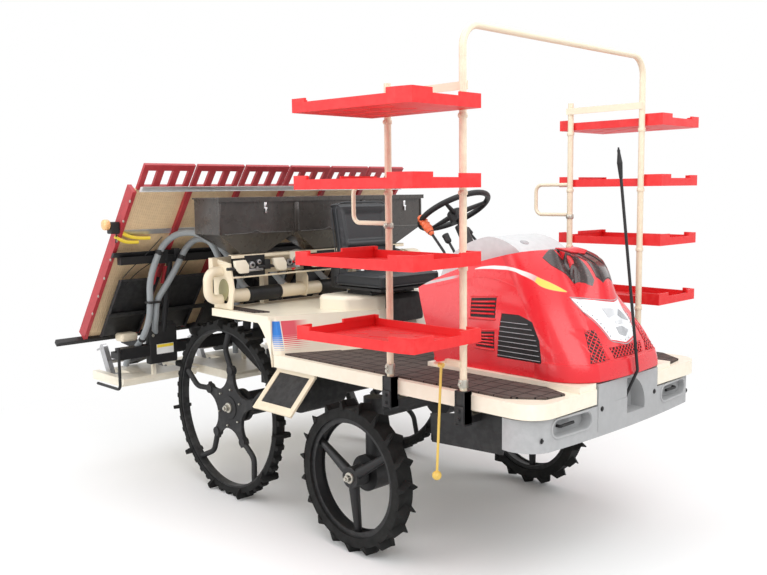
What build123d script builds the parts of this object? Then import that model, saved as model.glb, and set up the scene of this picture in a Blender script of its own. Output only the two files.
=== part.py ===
from build123d import *
import math
import os

# Riding rice transplanter for six rows. Millimetres, +X forward, +Y left, +Z up.
# Stations along X are measured from the front axle. save() moves every piece so that
# the origin lies on the ground under the middle of the whole machine.

# Gap left between pieces that are seated on each other but not fused
CLEAR = 0.3

# Wheels and axles
FRONT_R, FRONT_CARCASS_R, FRONT_RIM_R, FRONT_RIM_WALL = 328, 298, 256, 14
FRONT_WIDTH, FRONT_LUGS, FRONT_TRACK = 94, 19, 628
REAR_R, REAR_TOOTH_R, REAR_BAND_R, REAR_RIM_R = 458, 448, 432, 404
REAR_BAND_WIDTH, REAR_PADDLE_WIDTH, REAR_PADDLES, REAR_TRACK = 50, 108, 11, 587
TEETH_PER_PADDLE = 4
WHEELBASE = 998
SHAFT_R, SHAFT_FIT = 25, 0.05
KINGPIN_Y, KINGPIN_R, KINGPIN_Z = 515, 20, (545, 655)
FINAL_DRIVE_R = 78
AXLE_BEAM_R, AXLE_BEAM_Z = 42, 596
REAR_CASE_R, REAR_DIFF_R = 62, 112

# Chassis rails and what they carry
RAIL_Y, RAIL_Z, RAIL_X = (215, 275), (640, 700), (-1080, 840)
PANEL_X = (374, 756)
CROSS_MEMBERS = ((-1080, -1030), (-720, -670), (-330, -280), (330, 380), (640, 690), (800, 840))
ENGINE_X, ENGINE_Y, ENGINE_Z = (300, 700), 185, (RAIL_Z[1], 1010)

# Footboards
DECK_TOP, DECK_SKIN, DECK_SKIRT = 780, 8, 58
DECK_HALF_WIDTH, DECK_FRONT, DECK_CORNER_R = 618, 925, 105
REAR_DECK_HALF = 628
STEP_UP_X = -568
REAR_DECK_TOP, REAR_DECK_X, REAR_DECK_SKIN, REAR_LIP = 960, -1052, 20, 38
MAT = 8
PEDESTAL_FRONT, PEDESTAL_HALF_WIDTH, PEDESTAL_LEAN = -323, 125, 40
HUMP_FRONT, HUMP_TOP = -372, 1030
PLINTH_TOP = 804

# Hood: half widths and stations come from the section table in hood_block()
HOOD_REAR, HOOD_NOSE, HOOD_WALL = 191, 940, 7
HOOD_BASE = PLINTH_TOP + CLEAR
HOOD_HINGE, HINGE_R = (HOOD_REAR - 8, HOOD_BASE + 12), 8
HOOD_BAND_RISE, HOOD_BAND_TOP = 5, 872
SCOOP_X, SCOOP_HALF = (600, 822), (78, 52)
# Outlines in Y and Z of what is let into the hood's front, and in X and Z of its side vents
HOOD_FRONT_OUTLINES = {
    "lamp": ((-157, 1108), (0, 1085), (157, 1108), (90, 950), (0, 930), (-90, 950)),
    "nose_mesh": ((-118, 922), (118, 922), (106, 880), (-106, 880)),
    "corner_mesh": ((-250, 1000), (-190, 995), (-133, 880), (-212, 880)),
}
HOOD_SIDE_OUTLINES = {
    "upper_vent": ((352, 1089), (478, 1099), (488, 1018), (362, 1014)),
    "lower_vent": ((384, 954), (493, 965), (499, 896), (405, 897)),
}
DASH_HALF_WIDTH, DASH_GAP = 165, 10

# Steering
WHEEL_CENTRE, WHEEL_TILT, WHEEL_RIM_R, WHEEL_GRIP_R = (15, 0, 1440), 30, 168, 13
COLUMN_R = 27

# Seat
SEAT_PAN, SEAT_TOP = 1070, 1140

# Seedling racks on both sides
POST_R, POST_Y = 14, 634
POST_X = (223, 606)
POST_FOOT, FRONT_POST_TOP, REAR_POST_TOP = 690, 2010, 1950
TRAY_Z = (992, 1268, 1544, 1820)
TRAY_X, TRAY_OUT, TRAY_RIM, TRAY_WALL = (150, 702), (1050, 1000), 36, 5
ARCH_Z, ARCH_BEND = 2128, 85

# Fertiliser hopper behind the seat
HOPPER_X, HOPPER_HALF, HOPPER_TOP, HOPPER_WALL = (-1060, -850), 705, 1505, 6
HOPPER_SIDE_Z, HOPPER_FUNNEL_Z = 1335, 1225
DUCT_X, DUCT_Z, DUCT_R, DUCT_Y = -960, 1022, 34, (-585, 560)

# Outlets for the hoses, from the middle outwards on each side
OUTLETS, OUTLET_X, OUTLET_Z, HOSE_R = (151, 400, 500), -1060, 1036, 14

# Lift linkage: two equal links, the lower one is turned by a cylinder
LOWER_PIVOT, UPPER_PIVOT = (-1120, 540), (-1090, 780)
LINK_LENGTH, LINK_RISE = 500, 28
LEVER, LEVER_PIN_R = 90, 10
LINK_PIN_R = 18

# Planting unit
ROWS, ROW_PITCH = 6, 302
ROTOR, ROTOR_REACH = (-1935, 590), 135
BEAM, BEAM_SIZE, BEAM_HALF = (-1590, 690), 60, 870
TABLE_LOW, TABLE_HIGH = (-1888, 766), (-1279, 1565)
TABLE_BOARD, TABLE_FRAME = 14, 34
EXTENSION_LENGTH = 150
SLIDE_RAIL_HALF, CROSS_BAR, CROSS_BAR_SIZE = 1075, (590, 70), 40
FLOAT_Z, FLOAT_X = (500, 546), (-1960, -1600)

# Front furniture and steps
STEP_X, STEP_RAIL = (-548, -302), 15
POCKET_FLOOR, POCKET_Y, POCKET_Z, POCKET_SIZE = 884, 383, 674, (225, 60)
TOW_X, TOW_R, TOW_PLATE, TOW_HALF = 818, 11, 20, 300
BUMPER_Z, BUMPER_HALF, BUMPER_FRONT = (594, 714), 600, 930
MARKER_PIVOT, MARKER_BEND, MARKER_TIP = (892, 668), (962, 824), (862, 1684)
MARKER_R = 6
LEVER_FEET = ((106, -148, 1180), (118, -92, 1190), (112, 112, 1186))
SIDE_PIVOT, SIDE_BALL, SIDE_ROD_R, BALL_R = (560, -706, 896), (536, -706, 472), 5, 18

FRONT_REACH = MARKER_BEND[0] + MARKER_R
REAR_REACH = ROTOR[0] - ROTOR_REACH
ORIGIN_SHIFT = -(FRONT_REACH + REAR_REACH) / 2


def save(name, *shapes):
    """Write one sub-part, moved from the front axle's frame to the machine's."""
    solids = [Pos(ORIGIN_SHIFT, 0, 0) * s for shape in shapes for s in shape.solids()]
    export_step(Compound(solids), f"parts/{name}.step")


def block(x, y, z):
    """A box between its low and high limits on each axis."""
    size = (x[1] - x[0], y[1] - y[0], z[1] - z[0])
    return Pos(sum(x) / 2, sum(y) / 2, sum(z) / 2) * Box(*size)


def rod(start, end, radius):
    """A round bar between two points."""
    a, b = Vector(*start), Vector(*end)
    along = Plane(origin=a, z_dir=b - a)
    return along * Cylinder(radius, (b - a).length, align=(Align.CENTER, Align.CENTER, Align.MIN))


def drum(x, z, radius, y):
    """A round piece on an axis along Y at station x and height z."""
    return rod((x, y[0], z), (x, y[1], z), radius)


def bent_tube(points, radius, bend):
    """A round tube along straight runs with rounded bends."""
    path = FilletPolyline(*points, radius=bend)
    start = Plane(origin=points[0], z_dir=Vector(*points[1]) - Vector(*points[0]))
    return sweep(start * Circle(radius), path=path)


def side_plate(outline, y):
    """A plate with its outline in X and Z, between two Y values."""
    face = make_face(Polyline(*[(px, y[0], pz) for px, pz in outline], close=True))
    return extrude(face, amount=y[1] - y[0], dir=(0, 1, 0))


def cross_plate(outline, x):
    """A plate with its outline in Y and Z, between two X values."""
    face = make_face(Polyline(*[(x[0], py, pz) for py, pz in outline], close=True))
    return extrude(face, amount=x[1] - x[0], dir=(1, 0, 0))


def flat_plate(outline, z):
    """A plate with its outline in X and Y, between two heights."""
    face = make_face(Polyline(*[(px, py, z[0]) for px, py in outline], close=True))
    return extrude(face, amount=z[1] - z[0], dir=(0, 0, 1))


def other_side(shape):
    return mirror(shape, about=Plane.XZ)


def both(shape):
    return shape + other_side(shape)


def fuse(pieces):
    whole = pieces[0]
    for piece in pieces[1:]:
        whole = whole + piece
    return whole


def polar(centre, radius, degrees):
    """The (x, z) point at a radius and an angle from +X towards +Z."""
    a = math.radians(degrees)
    return (centre[0] + radius * math.cos(a), centre[1] + radius * math.sin(a))


def ring(x, z, outer, inner, y):
    return drum(x, z, outer, y) - drum(x, z, inner, (y[0] - 1, y[1] + 1))


# Wheels

def spoke(start, end, root, tip):
    """A round bar that tapers from its root to its tip."""
    a, b = Vector(*start), Vector(*end)
    along = Plane(origin=a, z_dir=b - a)
    return along * Cone(root, tip, (b - a).length, align=(Align.CENTER, Align.CENTER, Align.MIN))


def front_tyre(y):
    """Narrow paddy tyre: a carcass band and full-width pointed lugs, one of them straight down."""
    half = FRONT_WIDTH / 2
    carcass = ring(0, FRONT_R, FRONT_CARCASS_R, FRONT_RIM_R, (y - half + 6, y + half - 6))
    base, sweep_back, thick = FRONT_CARCASS_R - 6, 14, 14
    outline = [(-sweep_back - thick, 0), (sweep_back - thick, -half), (sweep_back + thick, -half),
               (-sweep_back + thick, 0), (sweep_back + thick, half), (sweep_back - thick, half)]
    face = make_face(Polyline(*[(px, py, 0) for px, py in outline], close=True))
    lug = extrude(face, amount=FRONT_R - base, taper=15)
    pieces = [carcass]
    for i in range(FRONT_LUGS):
        turn = Pos(0, y, FRONT_R) * Rot(0, 180 + 360 / FRONT_LUGS * i, 0)
        pieces.append(turn * Pos(0, 0, base) * lug)
    return fuse(pieces)


def front_rim(y, side):
    """Flat rim ring, three tapered spokes and a hub cup that turns on the axle shaft."""
    inner = FRONT_RIM_R - FRONT_RIM_WALL
    band = ring(0, FRONT_R, FRONT_RIM_R, inner, (y - 30, y + 30))
    lips = ring(0, FRONT_R, FRONT_RIM_R, inner - 8, (y - 30, y - 24)) + \
        ring(0, FRONT_R, FRONT_RIM_R, inner - 8, (y + 24, y + 30))
    hub_y = sorted((y - side * 36, y + side * 34))
    hub = drum(0, FRONT_R, 46, hub_y)
    spokes = []
    for angle in (-87, 33, 153):
        foot = polar((0, FRONT_R), 34, angle)
        tip = polar((0, FRONT_R), inner + 4, angle)
        spokes.append(spoke((foot[0], y + side * 12, foot[1]), (tip[0], y, tip[1]), 24, 16))
    wheel = fuse([band, lips, hub] + spokes)
    bore = drum(0, FRONT_R, SHAFT_R + SHAFT_FIT, sorted((y - side * 60, y + side * 14)))
    bolt = drum(0, FRONT_R, 14, sorted((y + side * 33, y + side * 50)))
    return wheel - bore + bolt


def rear_tyre(y):
    """Thin rubber band with small teeth and wide transverse paddles, teeth straight down."""
    x, z, half = -WHEELBASE, REAR_TOOTH_R, REAR_BAND_WIDTH / 2
    band = ring(x, z, REAR_BAND_R, REAR_RIM_R, (y - half, y + half))
    tooth = extrude(Rectangle(30, 2 * half), amount=REAR_TOOTH_R - REAR_BAND_R + 6, taper=12)
    reach = REAR_PADDLE_WIDTH / 2
    blade = [(REAR_RIM_R + 2, -half), (REAR_BAND_R + 2, -reach), (REAR_R, -reach + 10), (REAR_R, reach - 10),
             (REAR_BAND_R + 2, reach), (REAR_RIM_R + 2, half)]
    blade_face = make_face(Polyline(*[(-8, b, r) for r, b in blade], close=True))
    paddle = extrude(blade_face, amount=16, dir=(1, 0, 0))
    pieces = [band]
    pitch = 360 / REAR_PADDLES
    for i in range(REAR_PADDLES):
        turn = Pos(x, y, z) * Rot(0, 180 + pitch * (i + 0.5), 0)
        pieces.append(turn * paddle)
        for k in range(1, TEETH_PER_PADDLE):
            notch = Pos(x, y, z) * Rot(0, 180 + pitch * (i + 0.5 + k / TEETH_PER_PADDLE), 0)
            pieces.append(notch * Pos(0, 0, REAR_BAND_R - 6) * tooth)
    return fuse(pieces)


def rear_spider(y, side):
    """Cast star plate with hollow flanks, bosses at its tips and five bowed arms to a thin rim band."""
    x, z = -WHEELBASE, REAR_TOOTH_R
    band = ring(x, z, REAR_RIM_R, REAR_RIM_R - 10, (y - 20, y + 20))
    plate_y = sorted((y - side * 28, y - side * 10))
    tip_r, waist_r, pitch, spread = 214, 112, 72, 8
    edges = []
    arms = []
    for k in range(5):
        a = 14 + pitch * k
        low, high = polar((x, z), tip_r, a - spread), polar((x, z), tip_r, a + spread)
        waist, after = polar((x, z), waist_r, a + pitch / 2), polar((x, z), tip_r, a + pitch - spread)
        low, high, waist, after = [(p[0], plate_y[0], p[1]) for p in (low, high, waist, after)]
        edges += [Line(low, high), ThreePointArc(high, waist, after)]
        inner, mid, outer = polar((x, z), 192, a), polar((x, z), 300, a + 9), polar((x, z), REAR_RIM_R - 9, a)
        run = [(inner[0], y - side * 18, inner[1]), (mid[0], y - side * 12, mid[1]), (outer[0], y, outer[1])]
        arms.append(bent_tube(run, 14, 60))
        arms.append(drum(*polar((x, z), 192, a), 24, sorted((y - side * 34, y - side * 4))))
    plate = extrude(make_face(edges), amount=plate_y[1] - plate_y[0], dir=(0, 1, 0))
    hub = drum(x, z, 58, sorted((y - side * 58, y - side * 6)))
    bore = drum(x, z, SHAFT_R + SHAFT_FIT, sorted((y - side * 80, y - side * 16)))
    return fuse([band, plate, hub] + arms) - bore


# Axles and knuckles

def front_axle():
    """Round axle beam with a centre drive case and a kingpin housing at each end."""
    beam = drum(0, AXLE_BEAM_Z, AXLE_BEAM_R, (-KINGPIN_Y, KINGPIN_Y))
    case = drum(0, AXLE_BEAM_Z - 20, 82, (-105, 105))
    posts = both(block((-45, 45), (225, 265), (AXLE_BEAM_Z, RAIL_Z[0])))
    housings = both(rod((0, -KINGPIN_Y, KINGPIN_Z[0]), (0, -KINGPIN_Y, KINGPIN_Z[1]), 45))
    bores = both(rod((0, -KINGPIN_Y, KINGPIN_Z[0] - 1), (0, -KINGPIN_Y, KINGPIN_Z[1] - 20),
                     KINGPIN_R + SHAFT_FIT))
    return beam + case + posts + housings - bores


def front_knuckle(side):
    """Kingpin, drop leg and round final drive case with the wheel shaft."""
    y = side * KINGPIN_Y
    pin = rod((0, y, KINGPIN_Z[0] - 30), (0, y, KINGPIN_Z[1] - 25), KINGPIN_R)
    leg = rod((0, y, FRONT_R), (0, y, KINGPIN_Z[0] - 6), 38)
    case = drum(0, FRONT_R, FINAL_DRIVE_R, sorted((y - side * 40, y + side * 60)))
    shaft = drum(0, FRONT_R, SHAFT_R, sorted((y + side * 50, side * (FRONT_TRACK + 8))))
    return pin + leg + case + shaft


def rear_axle():
    """Straight rear case with its differential, hung from the rails."""
    x, z = -WHEELBASE, REAR_TOOTH_R
    case = drum(x, z, REAR_CASE_R, (-500, 500))
    diff = drum(x, z, REAR_DIFF_R, (-130, 130))
    hangers = both(block((x - 42, x + 42), (225, 265), (z, RAIL_Z[0])))
    flanges = both(drum(x, z, 84, (-512, -486)))
    shaft = drum(x, z, SHAFT_R, (-(REAR_TRACK - 22), REAR_TRACK - 22))
    return case + diff + hangers + flanges + shaft


# Chassis

def main_frame():
    """Two box rails with cross members, outriggers, rack brackets and the lift's pivot plates."""
    rails = both(block(RAIL_X, (-RAIL_Y[1], -RAIL_Y[0]), RAIL_Z))
    members = [block(x, (-RAIL_Y[0] - 5, RAIL_Y[0] + 5), RAIL_Z) for x in CROSS_MEMBERS]
    members[0] = members[0] - block((-1100, -1000), (-36, 36), (RAIL_Z[0] - 5, 676))
    arms = []
    for x in POST_X:
        arms.append(both(block((x - 25, x + 25), (-606, -RAIL_Y[1] + 5), (672, RAIL_Z[1]))))
        socket = block((x - 24, x + 24), (-POST_Y - 22, -DECK_HALF_WIDTH - CLEAR), (672, 795))
        foot = block((x - 24, x + 24), (-POST_Y - 22, -600), (672, RAIL_Z[1]))
        bore = rod((x, -POST_Y, POST_FOOT), (x, -POST_Y, 800), POST_R + CLEAR)
        arms.append(both(socket + foot - bore))
    low, high = RAIL_Z[0] + 5, RAIL_Z[1] - 5
    lower = side_plate([(-1150, 505), (-1092, 505), (-1046, low), (-1080, low), (-1150, 578)], (-262, -240))
    upper = side_plate([(-1080, high), (-1030, high), (-1056, 810), (-1122, 810), (-1122, 752)], (-46, -30))
    pivots = both(lower) + both(upper)
    pivots = pivots - drum(*LOWER_PIVOT, LINK_PIN_R + SHAFT_FIT, (-300, 300))
    pivots = pivots - drum(*UPPER_PIVOT, LINK_PIN_R + SHAFT_FIT, (-300, 300))
    return fuse([rails] + members + arms + [pivots, both(lower_panel())])


def lower_panel():
    """Creased side panel below the right footboard, with a short return at its rear end."""
    creased = cross_plate([(-558, 730), (-564, 640), (-554, 530), (-550, 530), (-560, 640), (-554, 730)],
                          PANEL_X)
    outline = [(PANEL_X[0], 537), (730, 556), (PANEL_X[1], 640), (PANEL_X[1], 720), (PANEL_X[0], 655)]
    back = block((PANEL_X[0], PANEL_X[0] + 4), (-560, -525), (545, 650))
    return (creased & side_plate(outline, (-600, -500))) + back


def deck_front():
    """Footboard tray with a turned-down skirt, a hole for the hood and a raised plinth round it."""
    low = DECK_TOP - DECK_SKIRT
    outer = block((STEP_UP_X, DECK_FRONT), (-DECK_HALF_WIDTH, DECK_HALF_WIDTH), (low, DECK_TOP))
    outer = fillet(outer.edges().filter_by(Axis.Z).sort_by(Axis.X)[-2:], DECK_CORNER_R)
    inner = block((STEP_UP_X + DECK_SKIN, DECK_FRONT - DECK_SKIN),
                  (-DECK_HALF_WIDTH + DECK_SKIN, DECK_HALF_WIDTH - DECK_SKIN),
                  (low - 1, DECK_TOP - DECK_SKIN))
    inner = fillet(inner.edges().filter_by(Axis.Z).sort_by(Axis.X)[-2:], DECK_CORNER_R - DECK_SKIN)
    tray = outer - inner
    plinth = block((HOOD_REAR - 30, DECK_FRONT - 4), (-345, 345), (DECK_TOP - DECK_SKIN, PLINTH_TOP))
    plinth = plinth - block((0, HOOD_REAR + 20), (-285, 285), (DECK_TOP, PLINTH_TOP + 1))
    hole = block((HOOD_REAR + 12, DECK_FRONT - 120), (-285, 285), (low - 2, PLINTH_TOP + 1))
    nose_gap = block((DECK_FRONT - 122, DECK_FRONT + 1), (-232, 232), (low - 2, PLINTH_TOP + 1))
    rails_under = block(RAIL_X, (-RAIL_Y[1], RAIL_Y[1]), (RAIL_Z[0], RAIL_Z[1] + 1))
    pads = both(block((-100, -40), (-RAIL_Y[1], -RAIL_Y[0]), (RAIL_Z[1], DECK_TOP - 2)))
    for x in POST_X:
        pads = pads + both(block((x - 20, x + 20), (-560, -520), (RAIL_Z[1], DECK_TOP - 2)))
    return tray + plinth - hole - nose_gap - rails_under + pads


def raised_body(outline, base, top):
    """The plan of the raised body, further forward at its foot than at its top."""
    low = make_face(Polyline(*[(x + PEDESTAL_LEAN, y, base) for x, y in outline], close=True))
    high = make_face(Polyline(*[(x, y, top) for x, y in outline], close=True))
    return loft([low, high], ruled=True)


def deck_rear():
    """Raised rear platform over the wheels, its leaning front wall and the hump under the seat."""
    top, skin = REAR_DECK_TOP, REAR_DECK_SKIN
    front = PEDESTAL_FRONT - PEDESTAL_LEAN
    right = [(-600, -REAR_DECK_HALF + 4), (STEP_UP_X - 2, -REAR_DECK_HALF + 30),
             (-420, -PEDESTAL_HALF_WIDTH - 120), (front, -PEDESTAL_HALF_WIDTH)]
    wall = right + [(x, -y) for x, y in reversed(right)]
    plan = [(REAR_DECK_X, -REAR_DECK_HALF), (-590, -REAR_DECK_HALF)] + right[1:]
    plan = plan + [(x, -y) for x, y in reversed(plan)]
    roof = flat_plate(plan, (top - skin, top))
    lips = both(block((REAR_DECK_X, -640), (-REAR_DECK_HALF, -REAR_DECK_HALF + 8), (top - REAR_LIP, top - 2)))
    back = block((REAR_DECK_X, REAR_DECK_X + 8), (-REAR_DECK_HALF, REAR_DECK_HALF), (top - REAR_LIP, top - 2))
    shell = raised_body(wall, DECK_TOP + CLEAR, top - 2)
    hollow = [(x - 14, y * 0.975) for x, y in wall]
    hollow[0], hollow[-1] = (-640, wall[0][1] + 8), (-640, wall[-1][1] - 8)
    shell = shell - raised_body(hollow, DECK_TOP - 1, top - skin + 1)
    hump_plan = [(-640, -300), (-450, -262), (HUMP_FRONT, -120), (HUMP_FRONT, 120), (-450, 262), (-640, 300)]
    hump = flat_plate(hump_plan, (top - 2, HUMP_TOP))
    hump = fillet(hump.edges().filter_by(Axis.Z), 45)
    hump = fillet(hump.edges().group_by(Axis.Z)[-1], 20)
    legs = both(block((-720, -680), (-RAIL_Y[1], -RAIL_Y[0]), (RAIL_Z[1], top - skin + 1)))
    legs = legs + both(block((-1040, -1000), (-RAIL_Y[1], -RAIL_Y[0]), (RAIL_Z[1], top - skin + 1)))
    return roof + lips + back + shell + both(wheel_fascia()) + hump + legs


def wheel_fascia():
    """Side skin that runs down in a curve from the platform's edge in front of the rear wheel."""
    foot, y = (STEP_UP_X - 2, DECK_TOP - DECK_SKIRT), -REAR_DECK_HALF
    high = REAR_DECK_TOP - REAR_DECK_SKIN + 1
    corners = [(foot[0], y, foot[1]), (-600, y, 832), (-690, y, high), (foot[0], y, high)]
    edges = [ThreePointArc(corners[0], corners[1], corners[2]), Line(corners[2], corners[3]),
             Line(corners[3], corners[0])]
    return extrude(make_face(edges), amount=10, dir=(0, 1, 0))


def foot_mats():
    """Rubber mats on both levels, each a flat sheet with cut corners."""
    z = (DECK_TOP, DECK_TOP + MAT)
    side = flat_plate([(-520, -DECK_HALF_WIDTH + 32), (760, -DECK_HALF_WIDTH + 32), (880, -500), (895, -400),
                       (780, -352), (-400, -352)], z)
    floor = flat_plate([(-380, -350), (HOOD_REAR - 32, -350), (HOOD_REAR - 32, 350), (-380, 350),
                        (-300, 150), (-300, -150)], z)
    rear = flat_plate([(REAR_DECK_X + 20, -600), (-735, -600), (-690, -540), (-1000, -540)],
                      (REAR_DECK_TOP, REAR_DECK_TOP + 6))
    posts = [block((x - 30, x + 30), (-680, -596), (DECK_TOP - 1, DECK_TOP + 30)) for x in POST_X]
    side = side - fuse(posts)
    dash = block((60, 230), (-DASH_HALF_WIDTH - 4, DASH_HALF_WIDTH + 4), (DECK_TOP - 1, DECK_TOP + 30))
    return both(side) + (floor - dash) + both(rear)


def engine_block():
    return block(ENGINE_X, (-ENGINE_Y, ENGINE_Y), ENGINE_Z)


# Hood and dash

def hood_section(z, rear_w, corner_x, front_w, end_x, end_y, nose_x, rear_x):
    """One level of the hood seen from above: straight sides, round corners and a bowed nose."""
    mid_x, mid_y = (corner_x + end_x) / 2, (front_w + end_y) / 2
    bulge = 0.21 * math.hypot(end_x - corner_x, front_w - end_y)
    out = math.atan2(end_x - corner_x, front_w - end_y)
    corner_mid = (mid_x + bulge * math.cos(out), mid_y + bulge * math.sin(out))
    right = [Line((rear_x, -rear_w, z), (corner_x, -front_w, z)),
             ThreePointArc((corner_x, -front_w, z), (corner_mid[0], -corner_mid[1], z), (end_x, -end_y, z))]
    nose = ThreePointArc((end_x, -end_y, z), (nose_x, 0, z), (end_x, end_y, z))
    left = [ThreePointArc((end_x, end_y, z), (corner_mid[0], corner_mid[1], z), (corner_x, front_w, z)),
            Line((corner_x, front_w, z), (rear_x, rear_w, z))]
    back = Line((rear_x, rear_w, z), (rear_x, -rear_w, z))
    return make_face(right + [nose] + left + [back])


def hood_block(wall):
    """The hood's outer form, or its hollow when a wall is taken off all round."""
    # height, rear half width, corner station, half width there, corner end station and
    # half width, nose station
    sections = ((HOOD_BASE, 322, 700, 318, 925, 215, HOOD_NOSE),
                (950, 316, 680, 306, 872, 185, 903),
                (1090, 300, 600, 268, 775, 120, 850),
                (1200, 262, 500, 222, 700, 84, 812),
                (1310, 205, 400, 165, 600, 60, 700))
    faces = []
    for z, rear_w, corner_x, front_w, end_x, end_y, nose_x in sections:
        low = z - (wall + 4 if z == HOOD_BASE and wall else 0)
        faces.append(hood_section(low, rear_w - wall, corner_x - wall / 2, front_w - wall, end_x - wall,
                                  end_y - wall / 2, nose_x - wall, 40))
    body = loft(faces)
    back = [(HOOD_REAR, HOOD_BASE - 8), (60, 1114)]
    if wall:
        back = [(HOOD_REAR - 40, HOOD_BASE - 8), (20, 1114), (60 + wall, 1114 - wall)]
    low, crest = back[-1], (560, 1286 - wall)
    brow, front = (829 - wall, 1196 - wall), 1000 - wall
    outline = Polyline(*back) + ThreePointArc(low, (310, 1225 - wall), crest) + \
        ThreePointArc(crest, (700, 1272 - wall), brow) + \
        Polyline(brow, (front, 1000), (front, HOOD_BASE - 8), back[0])
    return body & extrude(Plane.XZ * make_face(outline), amount=400, both=True)


def hood_shell():
    """Pressed hood, open below and behind, with a skirt band and cut-outs for lamps, meshes and vents."""
    shell = hood_block(0) - hood_block(HOOD_WALL)
    band = (hood_block(-HOOD_BAND_RISE) - hood_block(HOOD_WALL)) & \
        block((540, 1000), (-400, 400), (HOOD_BASE + 4, HOOD_BAND_TOP))
    dash = block((0, 530), (-DASH_HALF_WIDTH - DASH_GAP, DASH_HALF_WIDTH + DASH_GAP), (HOOD_BASE - 10, 1400))
    vents = both(side_plate(side_grille_outline(0), (-400, -240)))
    for name in HOOD_SIDE_OUTLINES:
        vents = vents + both(hood_opening(name, 0))
    front = hood_opening("lamp", 0) + hood_opening("nose_mesh", 0) + both(hood_opening("corner_mesh", 0))
    hinges = both(drum(*HOOD_HINGE, HINGE_R, (-320, -296)))
    return shell + band - dash - vents - front - scoop_opening(0) + hinges


def side_grille_outline(inset):
    """The black louvre panel's outline on the hood's side."""
    return [(515 + inset, 866 + inset), (738 - inset, 866 + inset), (716 - inset, 950),
            (668 - inset, 1018 - inset), (600, 1040 - inset), (515 + inset, 1040 - inset)]


def hood_grilles():
    """Black side grilles, vents and meshes, seated in the hood's openings."""
    skin = hood_block(3) - hood_block(HOOD_WALL)
    panels = [both(side_plate(side_grille_outline(CLEAR), (-400, -240)) & skin)]
    for name in HOOD_SIDE_OUTLINES:
        panels.append(both(hood_opening(name, CLEAR) & skin))
    panels.append(hood_opening("nose_mesh", CLEAR) & skin)
    panels.append(both(hood_opening("corner_mesh", CLEAR) & skin))
    return panels


def hood_lamp():
    """Clear lamp mask across the nose."""
    return hood_opening("lamp", CLEAR) & (hood_block(1) - hood_block(HOOD_WALL))


def hood_scoop():
    """Dark scoop let into the top of the hood."""
    return scoop_opening(CLEAR) & (hood_block(-2) - hood_block(HOOD_WALL))


def hood_opening(name, inset):
    """A prism through the hood's skin: a lamp, mesh or vent outline, smaller by an inset all round."""
    outline = HOOD_FRONT_OUTLINES.get(name)
    if outline:
        face = make_face(Polyline(*[(700, y, z) for y, z in outline], close=True))
        return extrude(offset(face, -inset) if inset else face, amount=260, dir=(1, 0, 0))
    face = make_face(Polyline(*[(x, -400, z) for x, z in HOOD_SIDE_OUTLINES[name]], close=True))
    return extrude(offset(face, -inset) if inset else face, amount=160, dir=(0, 1, 0))


def scoop_opening(inset):
    """A prism through the hood's top, under the dark scoop."""
    (x0, x1), (rear, front) = SCOOP_X, SCOOP_HALF
    face = make_face(Polyline((x0, -rear, 1150), (x1 - 20, -front, 1150), (x1, -front + 20, 1150),
                              (x1, front - 20, 1150), (x1 - 20, front, 1150), (x0, rear, 1150), close=True))
    return extrude(offset(face, -inset) if inset else face, amount=200)


def dash_cowl():
    """Grey instrument cowl with a domed top, on a pedestal behind the engine."""
    y = -DASH_HALF_WIDTH
    foot = [(110, 1227), (80, 1160), (92, DECK_TOP), (200, DECK_TOP), (215, 1000), (285, 1090), (505, 1236),
            (512, 1280)]
    lower = Polyline(*[(px, y, pz) for px, pz in foot])
    front = ThreePointArc((512, y, 1280), (440, y, 1321), (345, y, 1338))
    rear = ThreePointArc((345, y, 1338), (222, y, 1301), (110, y, 1227))
    cowl = extrude(make_face([lower, front, rear]), amount=2 * DASH_HALF_WIDTH, dir=(0, 1, 0))
    cowl = cowl - column_solid(COLUMN_R + CLEAR)
    for x, y, z in LEVER_FEET:
        cowl = cowl - block((x - 30, x + 24), (y - 10, y + 10), (z, z + 120))
    return cowl


def column_axis(distance):
    """A point on the steering axis, a given distance below the steering wheel's centre."""
    t = math.radians(WHEEL_TILT)
    return (WHEEL_CENTRE[0] + distance * math.sin(t), 0, WHEEL_CENTRE[2] - distance * math.cos(t))


def column_solid(radius):
    return rod(column_axis(76), column_axis(310), radius)


def steering_column():
    bore = rod(column_axis(60), column_axis(150), 10 + SHAFT_FIT)
    return column_solid(COLUMN_R) - bore


def steering_wheel():
    """Round rim, three spokes and a hub, all tilted towards the driver."""
    rim = Torus(WHEEL_RIM_R, WHEEL_GRIP_R)
    hub = Pos(0, 0, -30) * Cylinder(36, 50)
    spokes = []
    for angle in (180, 300, 60):
        a = math.radians(angle)
        spokes.append(rod((20 * math.cos(a), 20 * math.sin(a), -22),
                          (WHEEL_RIM_R * math.cos(a), WHEEL_RIM_R * math.sin(a), 0), 8))
    shaft = Pos(0, 0, -95) * Cylinder(10, 90)
    wheel = fuse([rim, hub] + spokes + [shaft])
    return Pos(*WHEEL_CENTRE) * Rot(0, -WHEEL_TILT, 0) * wheel


def control_levers():
    """Two bent levers right of the column and one left of it, with moulded knobs."""
    levers = []
    # bend x, bend z, knob x, knob z
    reach = ((84, 1262, 6, 1346), (94, 1262, 61, 1306), (88, 1270, 20, 1330))
    for (fx, y, fz), (bx, bz, kx, kz) in zip(LEVER_FEET, reach):
        fz = fz + 2
        stem = bent_tube([(fx, y, fz), (bx, y, bz), (kx, y, kz)], 6, 14)
        knob = rod((kx, y, kz), (kx + 0.35 * (kx - bx), y, kz + 0.35 * (kz - bz)), 15)
        levers.append(stem + knob)
    return levers


# Seat

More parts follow.
